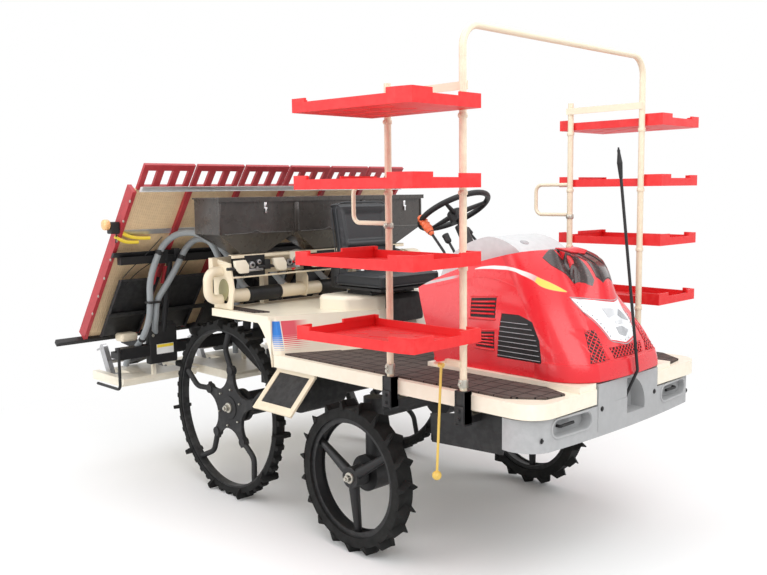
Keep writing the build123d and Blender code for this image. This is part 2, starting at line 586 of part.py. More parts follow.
def seat_base():
    """Black pressed frame under the seat and the dark panel on the front of the hump."""
    frame = block((-560, HUMP_FRONT - 14), (-150, 150), (HUMP_TOP, HUMP_TOP + 14))
    legs = both(block((-540, -400), (-150, -130), (HUMP_TOP + 13, SEAT_PAN - 11)))
    pan = block((-600, -270), (-200, 200), (SEAT_PAN - 12, SEAT_PAN))
    bracket = both(block((HUMP_FRONT - 30, -340), (-60, -44), (HUMP_TOP + 13, SEAT_PAN - 11)))
    edge, step = PEDESTAL_FRONT - PEDESTAL_LEAN + CLEAR, HUMP_FRONT + CLEAR
    ledge = REAR_DECK_TOP + CLEAR
    panel = side_plate([(-348, 893), (-320, 893), (-335, 1005), (-350, HUMP_TOP), (step, HUMP_TOP),
                        (step, ledge), (edge, ledge), (edge, REAR_DECK_TOP - 2)], (-70, 148))
    corners = panel.edges().filter_by(Axis.X).group_by(Axis.Y)[-1].sort_by(Axis.Z)
    return frame + legs + pan + bracket, fillet([corners[0], corners[-1]], 18)


def seat_cushion():
    """Seat pad with round corners and a rounded top edge."""
    cushion = block((-600, -250), (-215, 215), (SEAT_PAN + CLEAR, SEAT_TOP))
    cushion = fillet(cushion.edges().filter_by(Axis.Z), 50)
    return fillet(cushion.edges().group_by(Axis.Z)[-1], 18)


def seat_back():
    """Upright padded back that stands on the cushion's rear edge, with round upper corners."""
    foot = SEAT_TOP + CLEAR
    back = side_plate([(-600, foot), (-545, foot), (-600, 1485), (-655, 1485)], (-190, 190))
    return fillet(back.edges().filter_by(Axis.X).sort_by(Axis.Z)[-2:], 60)


# Seedling racks

def rack_frames():
    """Two posts a side with a grab loop on each rear post."""
    pieces = []
    for x, top in zip(POST_X, (REAR_POST_TOP, FRONT_POST_TOP)):
        pieces.append(rod((x, -POST_Y, POST_FOOT), (x, -POST_Y, top), POST_R))
    x, y = POST_X[0], -POST_Y
    loop = bent_tube([(x, y, 1556), (20, y, 1556), (20, y, 1408), (x, y, 1408)], 9, 35)
    pieces[0] = pieces[0] + loop
    tie = block((POST_X[0] - 16, POST_X[1] + 10), (-POST_Y + POST_R - 2, -POST_Y + POST_R + 3), (1895, 1925))
    side = fuse(pieces + [tie])
    return both(side)


def top_arch():
    """Round bar over the machine between the two front posts."""
    x = POST_X[1]
    foot = FRONT_POST_TOP + CLEAR
    return bent_tube([(x, -POST_Y, foot), (x, -POST_Y, ARCH_Z), (x, POST_Y, ARCH_Z), (x, POST_Y, foot)],
                     POST_R, ARCH_BEND)


def tray_outline(inset):
    """Plan of a seedling tray on the right: straight inside, wider towards the rear."""
    inner = -POST_Y - POST_R - CLEAR - inset
    rear, front = TRAY_X[0] + inset, TRAY_X[1] - inset
    return [(rear, inner), (front, inner), (front, -TRAY_OUT[1] + 2 * inset),
            (front - 60, -TRAY_OUT[1] - 15 + inset), (rear, -TRAY_OUT[0] + inset)]


def tray_rises(z, table):
    """Raised stretches of a tray's rim, cut from the rim's own band."""
    band = flat_plate(tray_outline(0), (z + TRAY_RIM - 1, z + TRAY_RIM + 18)) - \
        flat_plate(tray_outline(10), (z + TRAY_RIM - 2, z + TRAY_RIM + 19))
    pieces = []
    for x0, x1, y0, y1, rise in table:
        pieces.append(band & block((x0, x1), (y0, y1), (z + TRAY_RIM - 1, z + TRAY_RIM + rise)))
    return fuse(pieces)


def rack_trays():
    """Eight moulded trays: a rim with raised corners and lips, and slanted slots through the floor."""
    # from x, to x, from y, to y, rise above the rim; the left rows are given as if on the right
    right_rises = ((150, 215, -1052, -985, 14), (150, 175, -825, -640, 14), (600, 704, -1052, -900, 18),
                   (640, 704, -760, -640, 14))
    left_rises = ((150, 215, -700, -640, 14), (150, 175, -1052, -820, 14), (600, 704, -740, -640, 18),
                  (640, 704, -1022, -930, 14))
    trays = []
    for z in TRAY_Z:
        tray = flat_plate(tray_outline(0), (z, z + TRAY_RIM))
        tray = tray - flat_plate(tray_outline(TRAY_WALL), (z + TRAY_WALL, z + TRAY_RIM + 1))
        for x in (250, 380, 510):
            for y in (-950, -840, -730):
                tray = tray - Pos(x, y, z) * Rot(0, 0, 24) * Box(96, 15, 4 * TRAY_WALL)
        trays.append(tray + tray_rises(z, right_rises))
        trays.append(other_side(tray + tray_rises(z, left_rises)))
    return trays


# Steps, bumper and fittings

def side_steps():
    """Step below each footboard: two flat rails with round ends, a top hanger and a cross bar."""
    slope = [(-598, 714), (-748, 556), (-741, 549), (-591, 707)]
    rails = [cross_plate(slope, (x - STEP_RAIL, x + STEP_RAIL)) for x in STEP_X]
    bar = cross_plate([(-722, 585), (-748, 557), (-741, 550), (-715, 578)], (STEP_X[0], STEP_X[1]))
    hanger = block((STEP_UP_X + DECK_SKIN + CLEAR, STEP_X[1] + STEP_RAIL), (-606, -592),
                   (700, DECK_TOP - DECK_SKIN - CLEAR))
    return both(fuse(rails + [bar, hanger]))


def step_pads():
    """Dark tread panel between the rails of each step."""
    gap = STEP_RAIL + CLEAR
    span = (STEP_X[0] + gap, STEP_X[1] - gap)
    return both(cross_plate([(-608, 699.3), (-718.8, 582.8), (-715.9, 580), (-605, 696.5)], span))


def front_bumper():
    """Broad moulded bumper with a raised centre, round ends and an oval pocket on each side."""
    plan = Polyline((760, -BUMPER_HALF), (760, BUMPER_HALF)) + \
        ThreePointArc((760, BUMPER_HALF), (862, BUMPER_HALF - 18), (906, 520)) + \
        ThreePointArc((906, 520), (BUMPER_FRONT, 0), (906, -520)) + \
        ThreePointArc((906, -520), (862, -BUMPER_HALF + 18), (760, -BUMPER_HALF))
    beam = extrude(Pos(0, 0, BUMPER_Z[0]) * make_face(plan), amount=BUMPER_Z[1] - BUMPER_Z[0])
    hollow = block((700, 850), (-BUMPER_HALF + 40, BUMPER_HALF - 40), (BUMPER_Z[0] - 1, BUMPER_Z[1] + 1))
    centre = block((RAIL_X[1] + CLEAR, BUMPER_FRONT - 2), (-225, 225), (BUMPER_Z[0] + 20, HOOD_BASE - 6))
    slot = block((868, 960), (-18, 40), (648, 790))
    swing = rod((868, 0, MARKER_PIVOT[1]), (960, 0, MARKER_PIVOT[1]), 122)
    swing = swing & block((860, 970), (-18, 130), (MARKER_PIVOT[1] - 20, 800))
    return beam - hollow + centre - slot - swing - both(bumper_pocket())


def bumper_pocket():
    """The oval hollow round a tie-down hook."""
    start = Plane(origin=(POCKET_FLOOR, -POCKET_Y, POCKET_Z), x_dir=(0, 1, 0), z_dir=(1, 0, 0))
    return extrude(start * SlotOverall(*POCKET_SIZE), amount=80)


def bumper_fittings():
    """Black tow plate hung from the front cross member, tie-down hooks and the marker's pivot plate."""
    low = 560
    tow = block((700, RAIL_X[1] + 5), (-TOW_HALF, TOW_HALF), (low, low + TOW_PLATE))
    tow = tow - rod((TOW_X, 0, low - 1), (TOW_X, 0, low + TOW_PLATE + 1), TOW_R)
    hangers = both(block((802, 838), (-180, -150), (low + TOW_PLATE - 1, RAIL_Z[0] - CLEAR)))
    pivot = block((868 + CLEAR, 879 - CLEAR), (-14, 14), (650, 690))
    x, y, z = POCKET_FLOOR + CLEAR, -POCKET_Y, POCKET_Z
    hook = bent_tube([(x, y - 55, z), (x + 16, y - 55, z), (x + 16, y + 30, z)], 6, 8)
    return tow + hangers + pivot, both(hook)


# Fertiliser gear

def hopper():
    """Three open bins in one moulding, each with a funnel bottom."""
    x0, x1 = HOPPER_X
    outer = block(HOPPER_X, (-HOPPER_HALF, HOPPER_HALF), (HOPPER_SIDE_Z, HOPPER_TOP))
    third = 2 * HOPPER_HALF / 3
    cups = []
    for i in range(3):
        low, high = -HOPPER_HALF + i * third, -HOPPER_HALF + (i + 1) * third
        mid = (low + high) / 2
        outer = outer + hopper_funnel(x0, x1, low, high, mid, 0)
        cup = block((x0 + HOPPER_WALL, x1 - HOPPER_WALL), (low + HOPPER_WALL, high - HOPPER_WALL),
                    (HOPPER_SIDE_Z, HOPPER_TOP + 1))
        cups.append(cup + hopper_funnel(x0, x1, low, high, mid, HOPPER_WALL))
    return fuse([outer]) - fuse(cups)


def hopper_funnel(x0, x1, low, high, mid, wall):
    """One bin's sloping bottom as a loft between two rectangles."""
    top = Pos((x0 + x1) / 2, mid, HOPPER_SIDE_Z + 0.01) * Rectangle(x1 - x0 - 2 * wall, high - low - 2 * wall)
    foot_z = HOPPER_FUNNEL_Z + (1.5 * wall if wall else 0)
    foot = Pos((x0 + x1) / 2, mid, foot_z) * Rectangle(100 - 2 * wall, 120 - 2 * wall)
    return loft([foot, top])


def hopper_lids():
    """One lid over the bins, with a turned front edge and a hinge pin along its rear edge."""
    z = HOPPER_TOP + CLEAR
    lid = block((HOPPER_X[0] - 2, HOPPER_X[1] + 14), (-HOPPER_HALF - 8, HOPPER_HALF + 8), (z, z + 8))
    edge = block((HOPPER_X[1] + 6, HOPPER_X[1] + 14), (-HOPPER_HALF - 8, HOPPER_HALF + 8), (z - 14, z + 8))
    return lid + edge + drum(HOPPER_X[0] - 2, z + 4, 4, (-HOPPER_HALF - 8, HOPPER_HALF + 8))


def metering_units():
    """A metering box under each bin and the feed's cross shaft."""
    third = 2 * HOPPER_HALF / 3
    units = []
    for i in (-1, 0, 1):
        units.append(block((-1010, -895), (i * third - 62, i * third + 62), (1120, HOPPER_FUNNEL_Z - CLEAR)))
    shaft = drum(-890, 1165, 8, (-640, 640))
    return fuse(units + [shaft, block((-905, -885), (-560, -540), (1130, 1180)),
                         block((-905, -885), (540, 560), (1130, 1180))])


def fertiliser_frame():
    """Cream beam, end plates and legs that carry the hopper and the duct."""
    beam = block((-1050, -1010 - CLEAR), (-640, 640), (1120, 1180))
    end = [(-1052, 962), (-900, 962), (-880, 1060), (-905, 1190), (-1052, 1215)]
    plates = both(side_plate(end, (-612, -604)))
    props = both(block((-1050, -1014), (-330, -300), (REAR_DECK_TOP, 1122)))
    saddle = block((-1050, -1015), (-640, 640), (1178, 1214))
    cut = drum(DUCT_X, DUCT_Z, DUCT_R + 0.3, (-700, 700))
    shaft_cut = drum(-890, 1165, 9, (-700, 700))
    return beam + plates + props + saddle - cut - shaft_cut


def blower():
    """Air duct across the machine, its end elbow and the round blower housing."""
    duct = drum(DUCT_X, DUCT_Z, DUCT_R, DUCT_Y)
    x, near, far = -985, -612 - CLEAR, -690
    elbow = bent_tube([(x, near, 1150), (x, far, 1150), (x, far, 1010), (x, near, 1010)], 24, 45)
    housing = drum(DUCT_X - 10, DUCT_Z + 60, 110, (DUCT_Y[1] + 108, DUCT_Y[1] + 200))
    neck = drum(DUCT_X, DUCT_Z, DUCT_R, (DUCT_Y[1] - 1, DUCT_Y[1] + 110))
    for y in OUTLETS:
        duct = duct + both(rod((DUCT_X, y, OUTLET_Z), (OUTLET_X, y, OUTLET_Z), HOSE_R))
    return duct + neck + housing + elbow


# Lift linkage

def link_end(pivot):
    return polar(pivot, LINK_LENGTH, 180 - LINK_RISE)


def lever_pin():
    """Where the cylinder's rod takes hold of the lower link's lever."""
    return polar(LOWER_PIVOT, LEVER, 90 - LINK_RISE)


def lift_lower_link():
    """Two arms on a cross shaft, with the lever that the cylinder turns."""
    far = link_end(LOWER_PIVOT)
    arms = both(link_bar(LOWER_PIVOT, far, (-226, -196), 30))
    arms = arms - drum(*far, LINK_PIN_R + SHAFT_FIT, (-300, 300))
    shaft = drum(*LOWER_PIVOT, LINK_PIN_R, (-268, 268))
    pin = lever_pin()
    lever = both(link_bar(LOWER_PIVOT, pin, (-26, -16), 17))
    cross = drum(*pin, LEVER_PIN_R, (-26, 26))
    return arms + shaft + lever + cross


def link_bar(start, end, y, half):
    """A flat bar with round ends between two pivots."""
    length = math.hypot(end[0] - start[0], end[1] - start[1])
    nx, nz = -(end[1] - start[1]) / length * half, (end[0] - start[0]) / length * half
    outline = [(start[0] + nx, start[1] + nz), (end[0] + nx, end[1] + nz),
               (end[0] - nx, end[1] - nz), (start[0] - nx, start[1] - nz)]
    return side_plate(outline, y) + drum(*start, half, y) + drum(*end, half, y)


def lift_upper_link():
    far = link_end(UPPER_PIVOT)
    bar = link_bar(UPPER_PIVOT, far, (-22, 22), 26)
    shaft = drum(*UPPER_PIVOT, LINK_PIN_R, (-50, 50))
    return bar + shaft - drum(*far, LINK_PIN_R + 1, (-60, 60))


def lift_cylinder():
    """Cylinder barrel under the cross member, pointing back at the lever."""
    z = lever_pin()[1] + 4
    barrel = rod((-724, 0, z), (-915, 0, z), 25)
    lug = block((-740, -675), (-18, 18), (z - 25, RAIL_Z[0]))
    return barrel + lug - rod((-760, 0, z), (-920, 0, z), 12 + SHAFT_FIT)


def lift_rod():
    """Piston rod with a slotted eye round the lever's pin."""
    pin = lever_pin()
    z = pin[1] + 4
    stem = rod((pin[0] + 20, 0, z), (-770, 0, z), 12)
    eye = block((pin[0] - 26, pin[0] + 24), (-12, 12), (z - 34, z + 30))
    slot = block((pin[0] - LEVER_PIN_R - 2, pin[0] + LEVER_PIN_R + 2), (-20, 20),
                 (z - 4 - LEVER_PIN_R - 3, z + LEVER_PIN_R + 10))
    return stem + eye - slot


# Planting unit

def row_positions():
    return [(i - (ROWS - 1) / 2) * ROW_PITCH for i in range(ROWS)]


def case_positions():
    rows = row_positions()
    return [(rows[2 * i] + rows[2 * i + 1]) / 2 for i in range(ROWS // 2)]


def table_point(along, off):
    """A point in X and Z, along the table's slope from its low edge and off its face to the front."""
    dx, dz = TABLE_HIGH[0] - TABLE_LOW[0], TABLE_HIGH[1] - TABLE_LOW[1]
    length = math.hypot(dx, dz)
    ux, uz = dx / length, dz / length
    return (TABLE_LOW[0] + ux * along + uz * off, TABLE_LOW[1] + uz * along - ux * off)


def table_length():
    return math.hypot(TABLE_HIGH[0] - TABLE_LOW[0], TABLE_HIGH[1] - TABLE_LOW[1])


def sloped(along, off, y):
    """A block laid on the table's slope."""
    corners = [table_point(along[0], off[0]), table_point(along[1], off[0]),
               table_point(along[1], off[1]), table_point(along[0], off[1])]
    return side_plate(corners, y)


def planting_frame():
    """Cross beam, hitch tower and the rails that carry the sliding table."""
    half = BEAM_SIZE / 2
    beam = block((BEAM[0] - half, BEAM[0] + half), (-BEAM_HALF, BEAM_HALF), (BEAM[1] - half, BEAM[1] + half))
    low, high = link_end(LOWER_PIVOT), link_end(UPPER_PIVOT)
    cheek = side_plate([(BEAM[0] - half, BEAM[1]), (low[0] + 34, low[1] - 40), (low[0] + 34, low[1] + 40),
                        (low[0] - 40, low[1] + 60), (BEAM[0] - half, BEAM[1] + 90)], (-190, -170))
    cheek = both(cheek)
    pins = both(drum(*low, LINK_PIN_R, (-232, -169)))
    tower = both(side_plate([(BEAM[0] - half, BEAM[1] + 20), (BEAM[0] + half, BEAM[1] + 20),
                             (high[0] + 28, high[1] + 28), (high[0] - 34, high[1] + 28)], (-46, -30)))
    head = drum(*high, LINK_PIN_R, (-46, 46))
    slide = sloped((-24 - CLEAR, -CLEAR), (6, 36), (-SLIDE_RAIL_HALF, SLIDE_RAIL_HALF))
    stays = []
    for y in (-700, -250, 250, 700):
        stay = [(BEAM[0] - 10, BEAM[1] - 20), (BEAM[0] - 10, BEAM[1] + 20), table_point(40, 46),
                table_point(-4, 36), table_point(-24, 30), (-1862, 700)]
        stays.append(side_plate(stay, (y - 6, y + 6)))
    bar, size = table_point(*CROSS_BAR), CROSS_BAR_SIZE / 2
    cross = block((bar[0] - size, bar[0] + size), (-900, 900), (bar[1] - size, bar[1] + size))
    for y in (-2 * ROW_PITCH, 0, 2 * ROW_PITCH):
        cross = cross + sloped((CROSS_BAR[0] - 12, CROSS_BAR[0] + 20), (TABLE_FRAME + CLEAR, 62),
                               (y - 13, y + 13))
    uprights = both(rod((BEAM[0], -2 * ROW_PITCH, BEAM[1] + 20), (bar[0], -2 * ROW_PITCH, bar[1]), 16))
    return fuse([beam, cheek, pins, tower, head, slide, cross, uprights] + stays)


def planting_cases():
    """Three drive cases that reach back from the beam to the rotors."""
    cases = []
    half = BEAM_SIZE / 2
    for y in case_positions():
        arm = side_plate([(BEAM[0] - half - CLEAR, BEAM[1] + 28), (BEAM[0] - half - CLEAR, BEAM[1] - 28),
                          (ROTOR[0], ROTOR[1] - 36), (ROTOR[0], ROTOR[1] + 36)], (y - 30, y + 30))
        end = drum(*ROTOR, 36, (y - 30, y + 30))
        cases.append(arm + end - drum(*ROTOR, 14 + SHAFT_FIT, (y - 40, y + 40)))
    return cases


def planting_rotors():
    """For each drive case a shaft with a rotary arm and two planting forks on either side."""
    sets = []
    for case in case_positions():
        shaft = drum(*ROTOR, 14, (case - ROW_PITCH / 2 - 14, case + ROW_PITCH / 2 + 14))
        arms = []
        for row in (case - ROW_PITCH / 2, case + ROW_PITCH / 2):
            low, high = polar(ROTOR, 82, 118), polar(ROTOR, 82, 298)
            arms.append(link_bar(low, high, (row - 14, row + 14), 24))
            for end, angle in ((low, 118), (high, 298)):
                tip = polar(ROTOR, ROTOR_REACH - 6, angle + 38)
                root = polar(ROTOR, 92, angle + 8)
                arms.append(rod((end[0], row, end[1]), (root[0], row, root[1]), 16))
                arms.append(rod((root[0], row, root[1]), (tip[0], row, tip[1]), 6))
        sets.append(fuse([shaft] + arms))
    return sets


def floats():
    """Three cream floats, notched at each row for the forks."""
    pieces = []
    rows = row_positions()
    side = case_positions()[2]
    for centre, half, front in ((-side, 232, -1600), (0, 330, -1300), (side, 232, -1600)):
        plank = block((FLOAT_X[0], front), (centre - half, centre + half), FLOAT_Z)
        plank = chamfer(plank.edges().filter_by(Axis.Y).group_by(Axis.X)[-1].sort_by(Axis.Z)[:1], 30)
        for y in rows:
            if abs(y - centre) < half:
                plank = plank - block((FLOAT_X[0] - 1, -1760), (y - 42, y + 42),
                                      (FLOAT_Z[0] - 1, FLOAT_Z[1] + 1))
        post = block((BEAM[0] - 26, BEAM[0] - 6), (centre - 60, centre - 40),
                     (FLOAT_Z[1] - 2, BEAM[1] - BEAM_SIZE / 2))
        pieces.append(plank + post)
    return pieces


def unit_covers():
    """Dark sloping covers under the lower half of the table, one for each row."""
    covers = []
    for y in row_positions():
        covers.append(sloped((150, 561), (62, 74), (y - 110, y + 110)))
    spine = sloped((300, 330), (74, 84), (-870, 870))
    return fuse(covers + [spine])


def side_guards():
    """Bent round guard rods at both ends of the planting unit."""
    y = -BEAM_HALF - 26
    guard = bent_tube([(-1530, y, 735), (-1530, y, 510), (-1780, y, 510)], 8, 30)
    plate = block((BEAM[0] - 20, -1526), (y - 4, -BEAM_HALF - CLEAR), (672, 706))
    return both(guard + plate)


def fertiliser_hoses():
    """Grey hoses from the duct's outlets over to each row and down in front of the beam."""
    hoses = []
    front = BEAM[0] + BEAM_SIZE / 2 + HOSE_R + CLEAR
    for start, row in zip(OUTLETS, row_positions()[ROWS // 2:]):
        run = [(OUTLET_X - CLEAR, start, OUTLET_Z), (-1180, start, OUTLET_Z), (-1420, start, OUTLET_Z + 14),
               (-1490, row, 970), (front - 6, row, 820), (front, row, 720), (front, row, 600)]
        hoses.append(both(bent_tube(run, HOSE_R, 50)))
    return hoses


# Seedling table

def table_board():
    """The board that the seedling mats slide down."""
    half = ROWS * ROW_PITCH / 2
    return sloped((0, table_length()), (0, TABLE_BOARD), (-half, half))


def table_frame():
    """Ribs between the lanes and raised side rails."""
    half = ROWS * ROW_PITCH / 2
    ribs = []
    for i in range(1, ROWS):
        y = -half + i * ROW_PITCH
        ribs.append(sloped((0, table_length()), (TABLE_BOARD, TABLE_FRAME), (y - 14, y + 14)))
    sides = both(sloped((0, table_length()), (-30, TABLE_FRAME), (-half - 22, -half - CLEAR)))
    return [sides] + ribs


def table_extensions():
    """Slotted racks above each lane."""
    half = ROWS * ROW_PITCH / 2
    racks = []
    start = table_length() + CLEAR
    for y in row_positions():
        wide = ROW_PITCH / 2 - 8
        rack = sloped((start, start + EXTENSION_LENGTH), (0, 16), (y - wide, y + wide))
        for k in (-1, 0, 1):
            gap = y + k * 88
            rack = rack - sloped((start + 22, start + EXTENSION_LENGTH - 34), (-1, 17), (gap - 26, gap + 26))
        racks.append(rack)
    return racks


def table_rails():
    """Metal strips across the front of the table: the top rail and the middle strip."""
    half = ROWS * ROW_PITCH / 2
    end = table_length()
    top = sloped((end - 26, end + 6), (TABLE_FRAME + CLEAR, TABLE_FRAME + 18), (-half, half))
    middle = sloped((640, 672), (TABLE_FRAME + CLEAR, TABLE_FRAME + 10), (-half, half))
    return [top, middle]


# Markers

def centre_marker():
    """Bent rod in front of the hood with a flame-shaped tip."""
    a, b, c = MARKER_PIVOT, MARKER_BEND, MARKER_TIP
    stem = bent_tube([(a[0], 0, a[1]), (b[0], 0, b[1]), (c[0], 0, c[1])], MARKER_R, 20)
    eye = rod((a[0] - 13, 0, a[1]), (a[0] + 9, 0, a[1]), 11)
    base = Plane(origin=(c[0], 0, c[1]), z_dir=(c[0] - b[0], 0, c[1] - b[1]))
    tip = base * Pos(0, 0, -110) * Cone(7, 11, 60, align=(Align.CENTER, Align.CENTER, Align.MIN))
    end = base * Pos(0, 0, -50) * Cone(11, 3, 60, align=(Align.CENTER, Align.CENTER, Align.MIN))
    return stem + eye + tip + end


def side_marker():
    """Hanging rod with a ball, on the right side."""
    stem = rod(SIDE_PIVOT, SIDE_BALL, SIDE_ROD_R)
    ball = Pos(*SIDE_BALL) * Sphere(BALL_R)
    eye = rod((SIDE_PIVOT[0] - 10, *SIDE_PIVOT[1:]), (SIDE_PIVOT[0] + 10, *SIDE_PIVOT[1:]), 9)
    return stem + ball + eye


def marker_arms():
    """The arms on the front posts that carry the side markers."""
    x, y, z = SIDE_PIVOT
    arm = block((x - 26, POST_X[1]), (-POST_Y - POST_R - 8, -POST_Y - 4), (z - 12, z + 12))
    arm = arm - rod((POST_X[1], -POST_Y, z - 20), (POST_X[1], -POST_Y, z + 20), POST_R + CLEAR)
    pin = rod((x - 26, -POST_Y - 10, z), (x - 26, y - 10, z), 6)
    return arm + pin + rod((x - 30, y, z), (x - 10 - CLEAR, y, z), 9)


def main():
    os.makedirs("parts", exist_ok=True)
    save("main_frame", main_frame())
    save("front_axle", front_axle())
    save("rear_axle", rear_axle())
    save("engine_block", engine_block())
    save("deck_front", deck_front())
    save("deck_rear", deck_rear())
    save("foot_mats", foot_mats())
    save("front_bumper", front_bumper())
    save("bumper_fittings", *bumper_fittings())
    save("hood_shell", hood_shell())
    save("hood_grilles", *hood_grilles())
    save("hood_lamp", hood_lamp())
    save("hood_scoop", hood_scoop())
    save("dash_cowl", dash_cowl())
    save("steering_column", steering_column())
    save("steering_wheel", steering_wheel())
    save("control_levers", *control_levers())
    save("seat_base", *seat_base())
    save("seat_cushion", seat_cushion())
    save("seat_back", seat_back())
    save("rack_frames", rack_frames())
    save("top_arch", top_arch())
    save("rack_trays", *rack_trays())
    save("side_steps", side_steps())
    save("step_pads", step_pads())
    save("hopper", hopper())
    save("hopper_lids", hopper_lids())
    save("metering_units", metering_units())
    save("fertiliser_frame", fertiliser_frame())
    save("blower", blower())
    save("lift_cylinder", lift_cylinder())
    save("lift_rod", lift_rod())
    save("lift_lower_link", lift_lower_link())
    save("lift_upper_link", lift_upper_link())
    save("planting_frame", planting_frame())
    save("planting_cases", *planting_cases())
    save("planting_rotors", *planting_rotors())
    save("floats", *floats())
    save("unit_covers", unit_covers())
    save("side_guards", side_guards())
    save("fertiliser_hoses", *fertiliser_hoses())
    save("table_board", table_board())
    save("table_frame", *table_frame())
    save("table_extensions", *table_extensions())
    save("table_rails", *table_rails())
    save("centre_marker", centre_marker())
    save("marker_arms", both(marker_arms()))
    for name, side in (("right", -1), ("left", 1)):
        marker = side_marker()
        save(f"side_marker_{name}", marker if side < 0 else other_side(marker))
        save(f"front_knuckle_{name}", front_knuckle(side))
        save(f"front_tyre_{name}", front_tyre(side * FRONT_TRACK))
        save(f"front_rim_{name}", front_rim(side * FRONT_TRACK, side))
        save(f"rear_tyre_{name}", rear_tyre(side * REAR_TRACK))
        save(f"rear_spider_{name}", rear_spider(side * REAR_TRACK, side))


main()
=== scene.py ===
# %% [markdown]
# # Dressing a riding rice transplanter
# The machine has a red hood, cream footboards, red seedling racks on both sides, a smoked
# fertiliser hopper behind the seat and a wide sloping seedling table at the rear.
# The CAD solids are loaded first and stay where they are. Everything below either gives one of
# them a finish or adds a piece on top of it.

# %% Load the solid model
import math

import bpy
from mathutils import Matrix, Vector


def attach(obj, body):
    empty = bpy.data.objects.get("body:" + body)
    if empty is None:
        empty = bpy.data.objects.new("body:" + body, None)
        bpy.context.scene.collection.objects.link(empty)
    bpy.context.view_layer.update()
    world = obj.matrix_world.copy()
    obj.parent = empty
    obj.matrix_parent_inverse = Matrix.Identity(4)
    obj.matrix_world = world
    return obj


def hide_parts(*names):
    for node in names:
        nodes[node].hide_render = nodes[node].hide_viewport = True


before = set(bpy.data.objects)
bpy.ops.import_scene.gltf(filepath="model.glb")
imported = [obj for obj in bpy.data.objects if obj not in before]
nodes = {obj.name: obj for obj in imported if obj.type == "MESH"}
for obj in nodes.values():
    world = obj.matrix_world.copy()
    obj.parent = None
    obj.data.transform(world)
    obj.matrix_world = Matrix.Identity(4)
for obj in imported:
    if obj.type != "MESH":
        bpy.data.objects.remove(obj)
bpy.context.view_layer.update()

# %% [markdown]
# ## Where things are
# The drawing gives stations in millimetres from the front axle, with +X forward, +Y to the
# machine's left and +Z up. One small function turns such a station into Blender's metres, so
# every number below can be read as a size on the real machine.

# %% Stations
AXLE_SHIFT = 551
REAR_X, REAR_Z, FRONT_Z = -998, 448, 328


def at(x, y, z):
    """A station in millimetres from the front axle, as a point in metres."""
    return Vector(((x + AXLE_SHIFT) / 1000, y / 1000, z / 1000))


print("rear axle at", [round(v, 3) for v in at(REAR_X, 0, REAR_Z)])

# %% [markdown]
# ## A shorthand for shader nodes
# A node is added, set and wired in one call. An input takes a plain value, or another node's
# output, which is then linked. Every material below is built with this call.

# %% Node helper
def put(tree, kind, inputs=(), **settings):
    """Add a node. Inputs map a socket's name or number to a value or to another node's output."""
    fresh = tree.nodes.new(kind)
    for label, value in settings.items():
        setattr(fresh, label, value)
    for label, value in dict(inputs).items():
        if isinstance(value, bpy.types.NodeSocket):
            tree.links.new(value, fresh.inputs[label])
        else:
            fresh.inputs[label].default_value = value
    return fresh


def combine(tree, operation, first, second):
    """Two values put through one Math node. Each may be a number or a socket."""
    return put(tree, "ShaderNodeMath", {0: first, 1: second}, operation=operation).outputs[0]


def place_in(tree):
    """The Object coordinates, which every texture and mask here is laid out in."""
    return put(tree, "ShaderNodeTexCoord").outputs["Object"]


# %% [markdown]
# ## Camera, floor and light
# A studio picture of a machine is taken from a little above hood height, from the front right
# corner. The camera's turn is built from three angles, which is easier to read than nine
# matrix numbers. The floor and the world show white to the camera, and the light on the
# machine comes from large soft lamps, so paint keeps its own colour.

# %% Camera
HEADING, DIP, ROLL = math.radians(135.472), math.radians(6.267), math.radians(-0.693)
EYE, LENS = (3.23108, -3.08419, 1.53480), 41.162
ahead = Vector((math.cos(HEADING), math.sin(HEADING), 0))
side = Vector((math.sin(HEADING), -math.cos(HEADING), 0))
up = Vector((0, 0, 1))
look = ahead * math.cos(DIP) - up * math.sin(DIP)
head = ahead * math.sin(DIP) + up * math.cos(DIP)
right = side * math.cos(ROLL) + head * math.sin(ROLL)
top = head * math.cos(ROLL) - side * math.sin(ROLL)
bpy.ops.object.camera_add(location=EYE)
camera = bpy.context.object
turn = Matrix((right, top, -look)).transposed()
camera.rotation_euler = turn.to_euler()
camera.data.lens = LENS
camera.data.clip_end = 60
bpy.context.scene.camera = camera
print("camera looks", [round(v, 3) for v in look])

# %% Floor and world
bpy.context.scene.view_settings.view_transform = "Standard"
WHITE = (1, 1, 1, 1)
WORLD_STRENGTH = 0.48
FADE_FROM, FADE_TO = 1.2, 3.2


def seen_rays(tree):
    """1 for camera, glossy and clear rays, which see plain white."""
    path = put(tree, "ShaderNodeLightPath").outputs
    near = combine(tree, "MAXIMUM", path["Is Camera Ray"], path["Is Glossy Ray"])
    return combine(tree, "MAXIMUM", near, path["Is Transmission Ray"])


def show(tree, mask, shaded, plain, output):
    """The plain shader where the mask is 1, the shaded one elsewhere."""
    choose = put(tree, "ShaderNodeMixShader", {0: mask, 1: shaded.outputs[0], 2: plain.outputs[0]})
    tree.links.new(choose.outputs[0], tree.nodes[output].inputs["Surface"])


world = bpy.data.worlds.new("studio")
bpy.context.scene.world = world
world.use_nodes = True
sky = world.node_tree
soft = sky.nodes["Background"]
soft.inputs["Color"].default_value = WHITE
soft.inputs["Strength"].default_value = WORLD_STRENGTH
plain = put(sky, "ShaderNodeBackground", {"Color": WHITE, "Strength": 1})
show(sky, seen_rays(sky), soft, plain, "World Output")

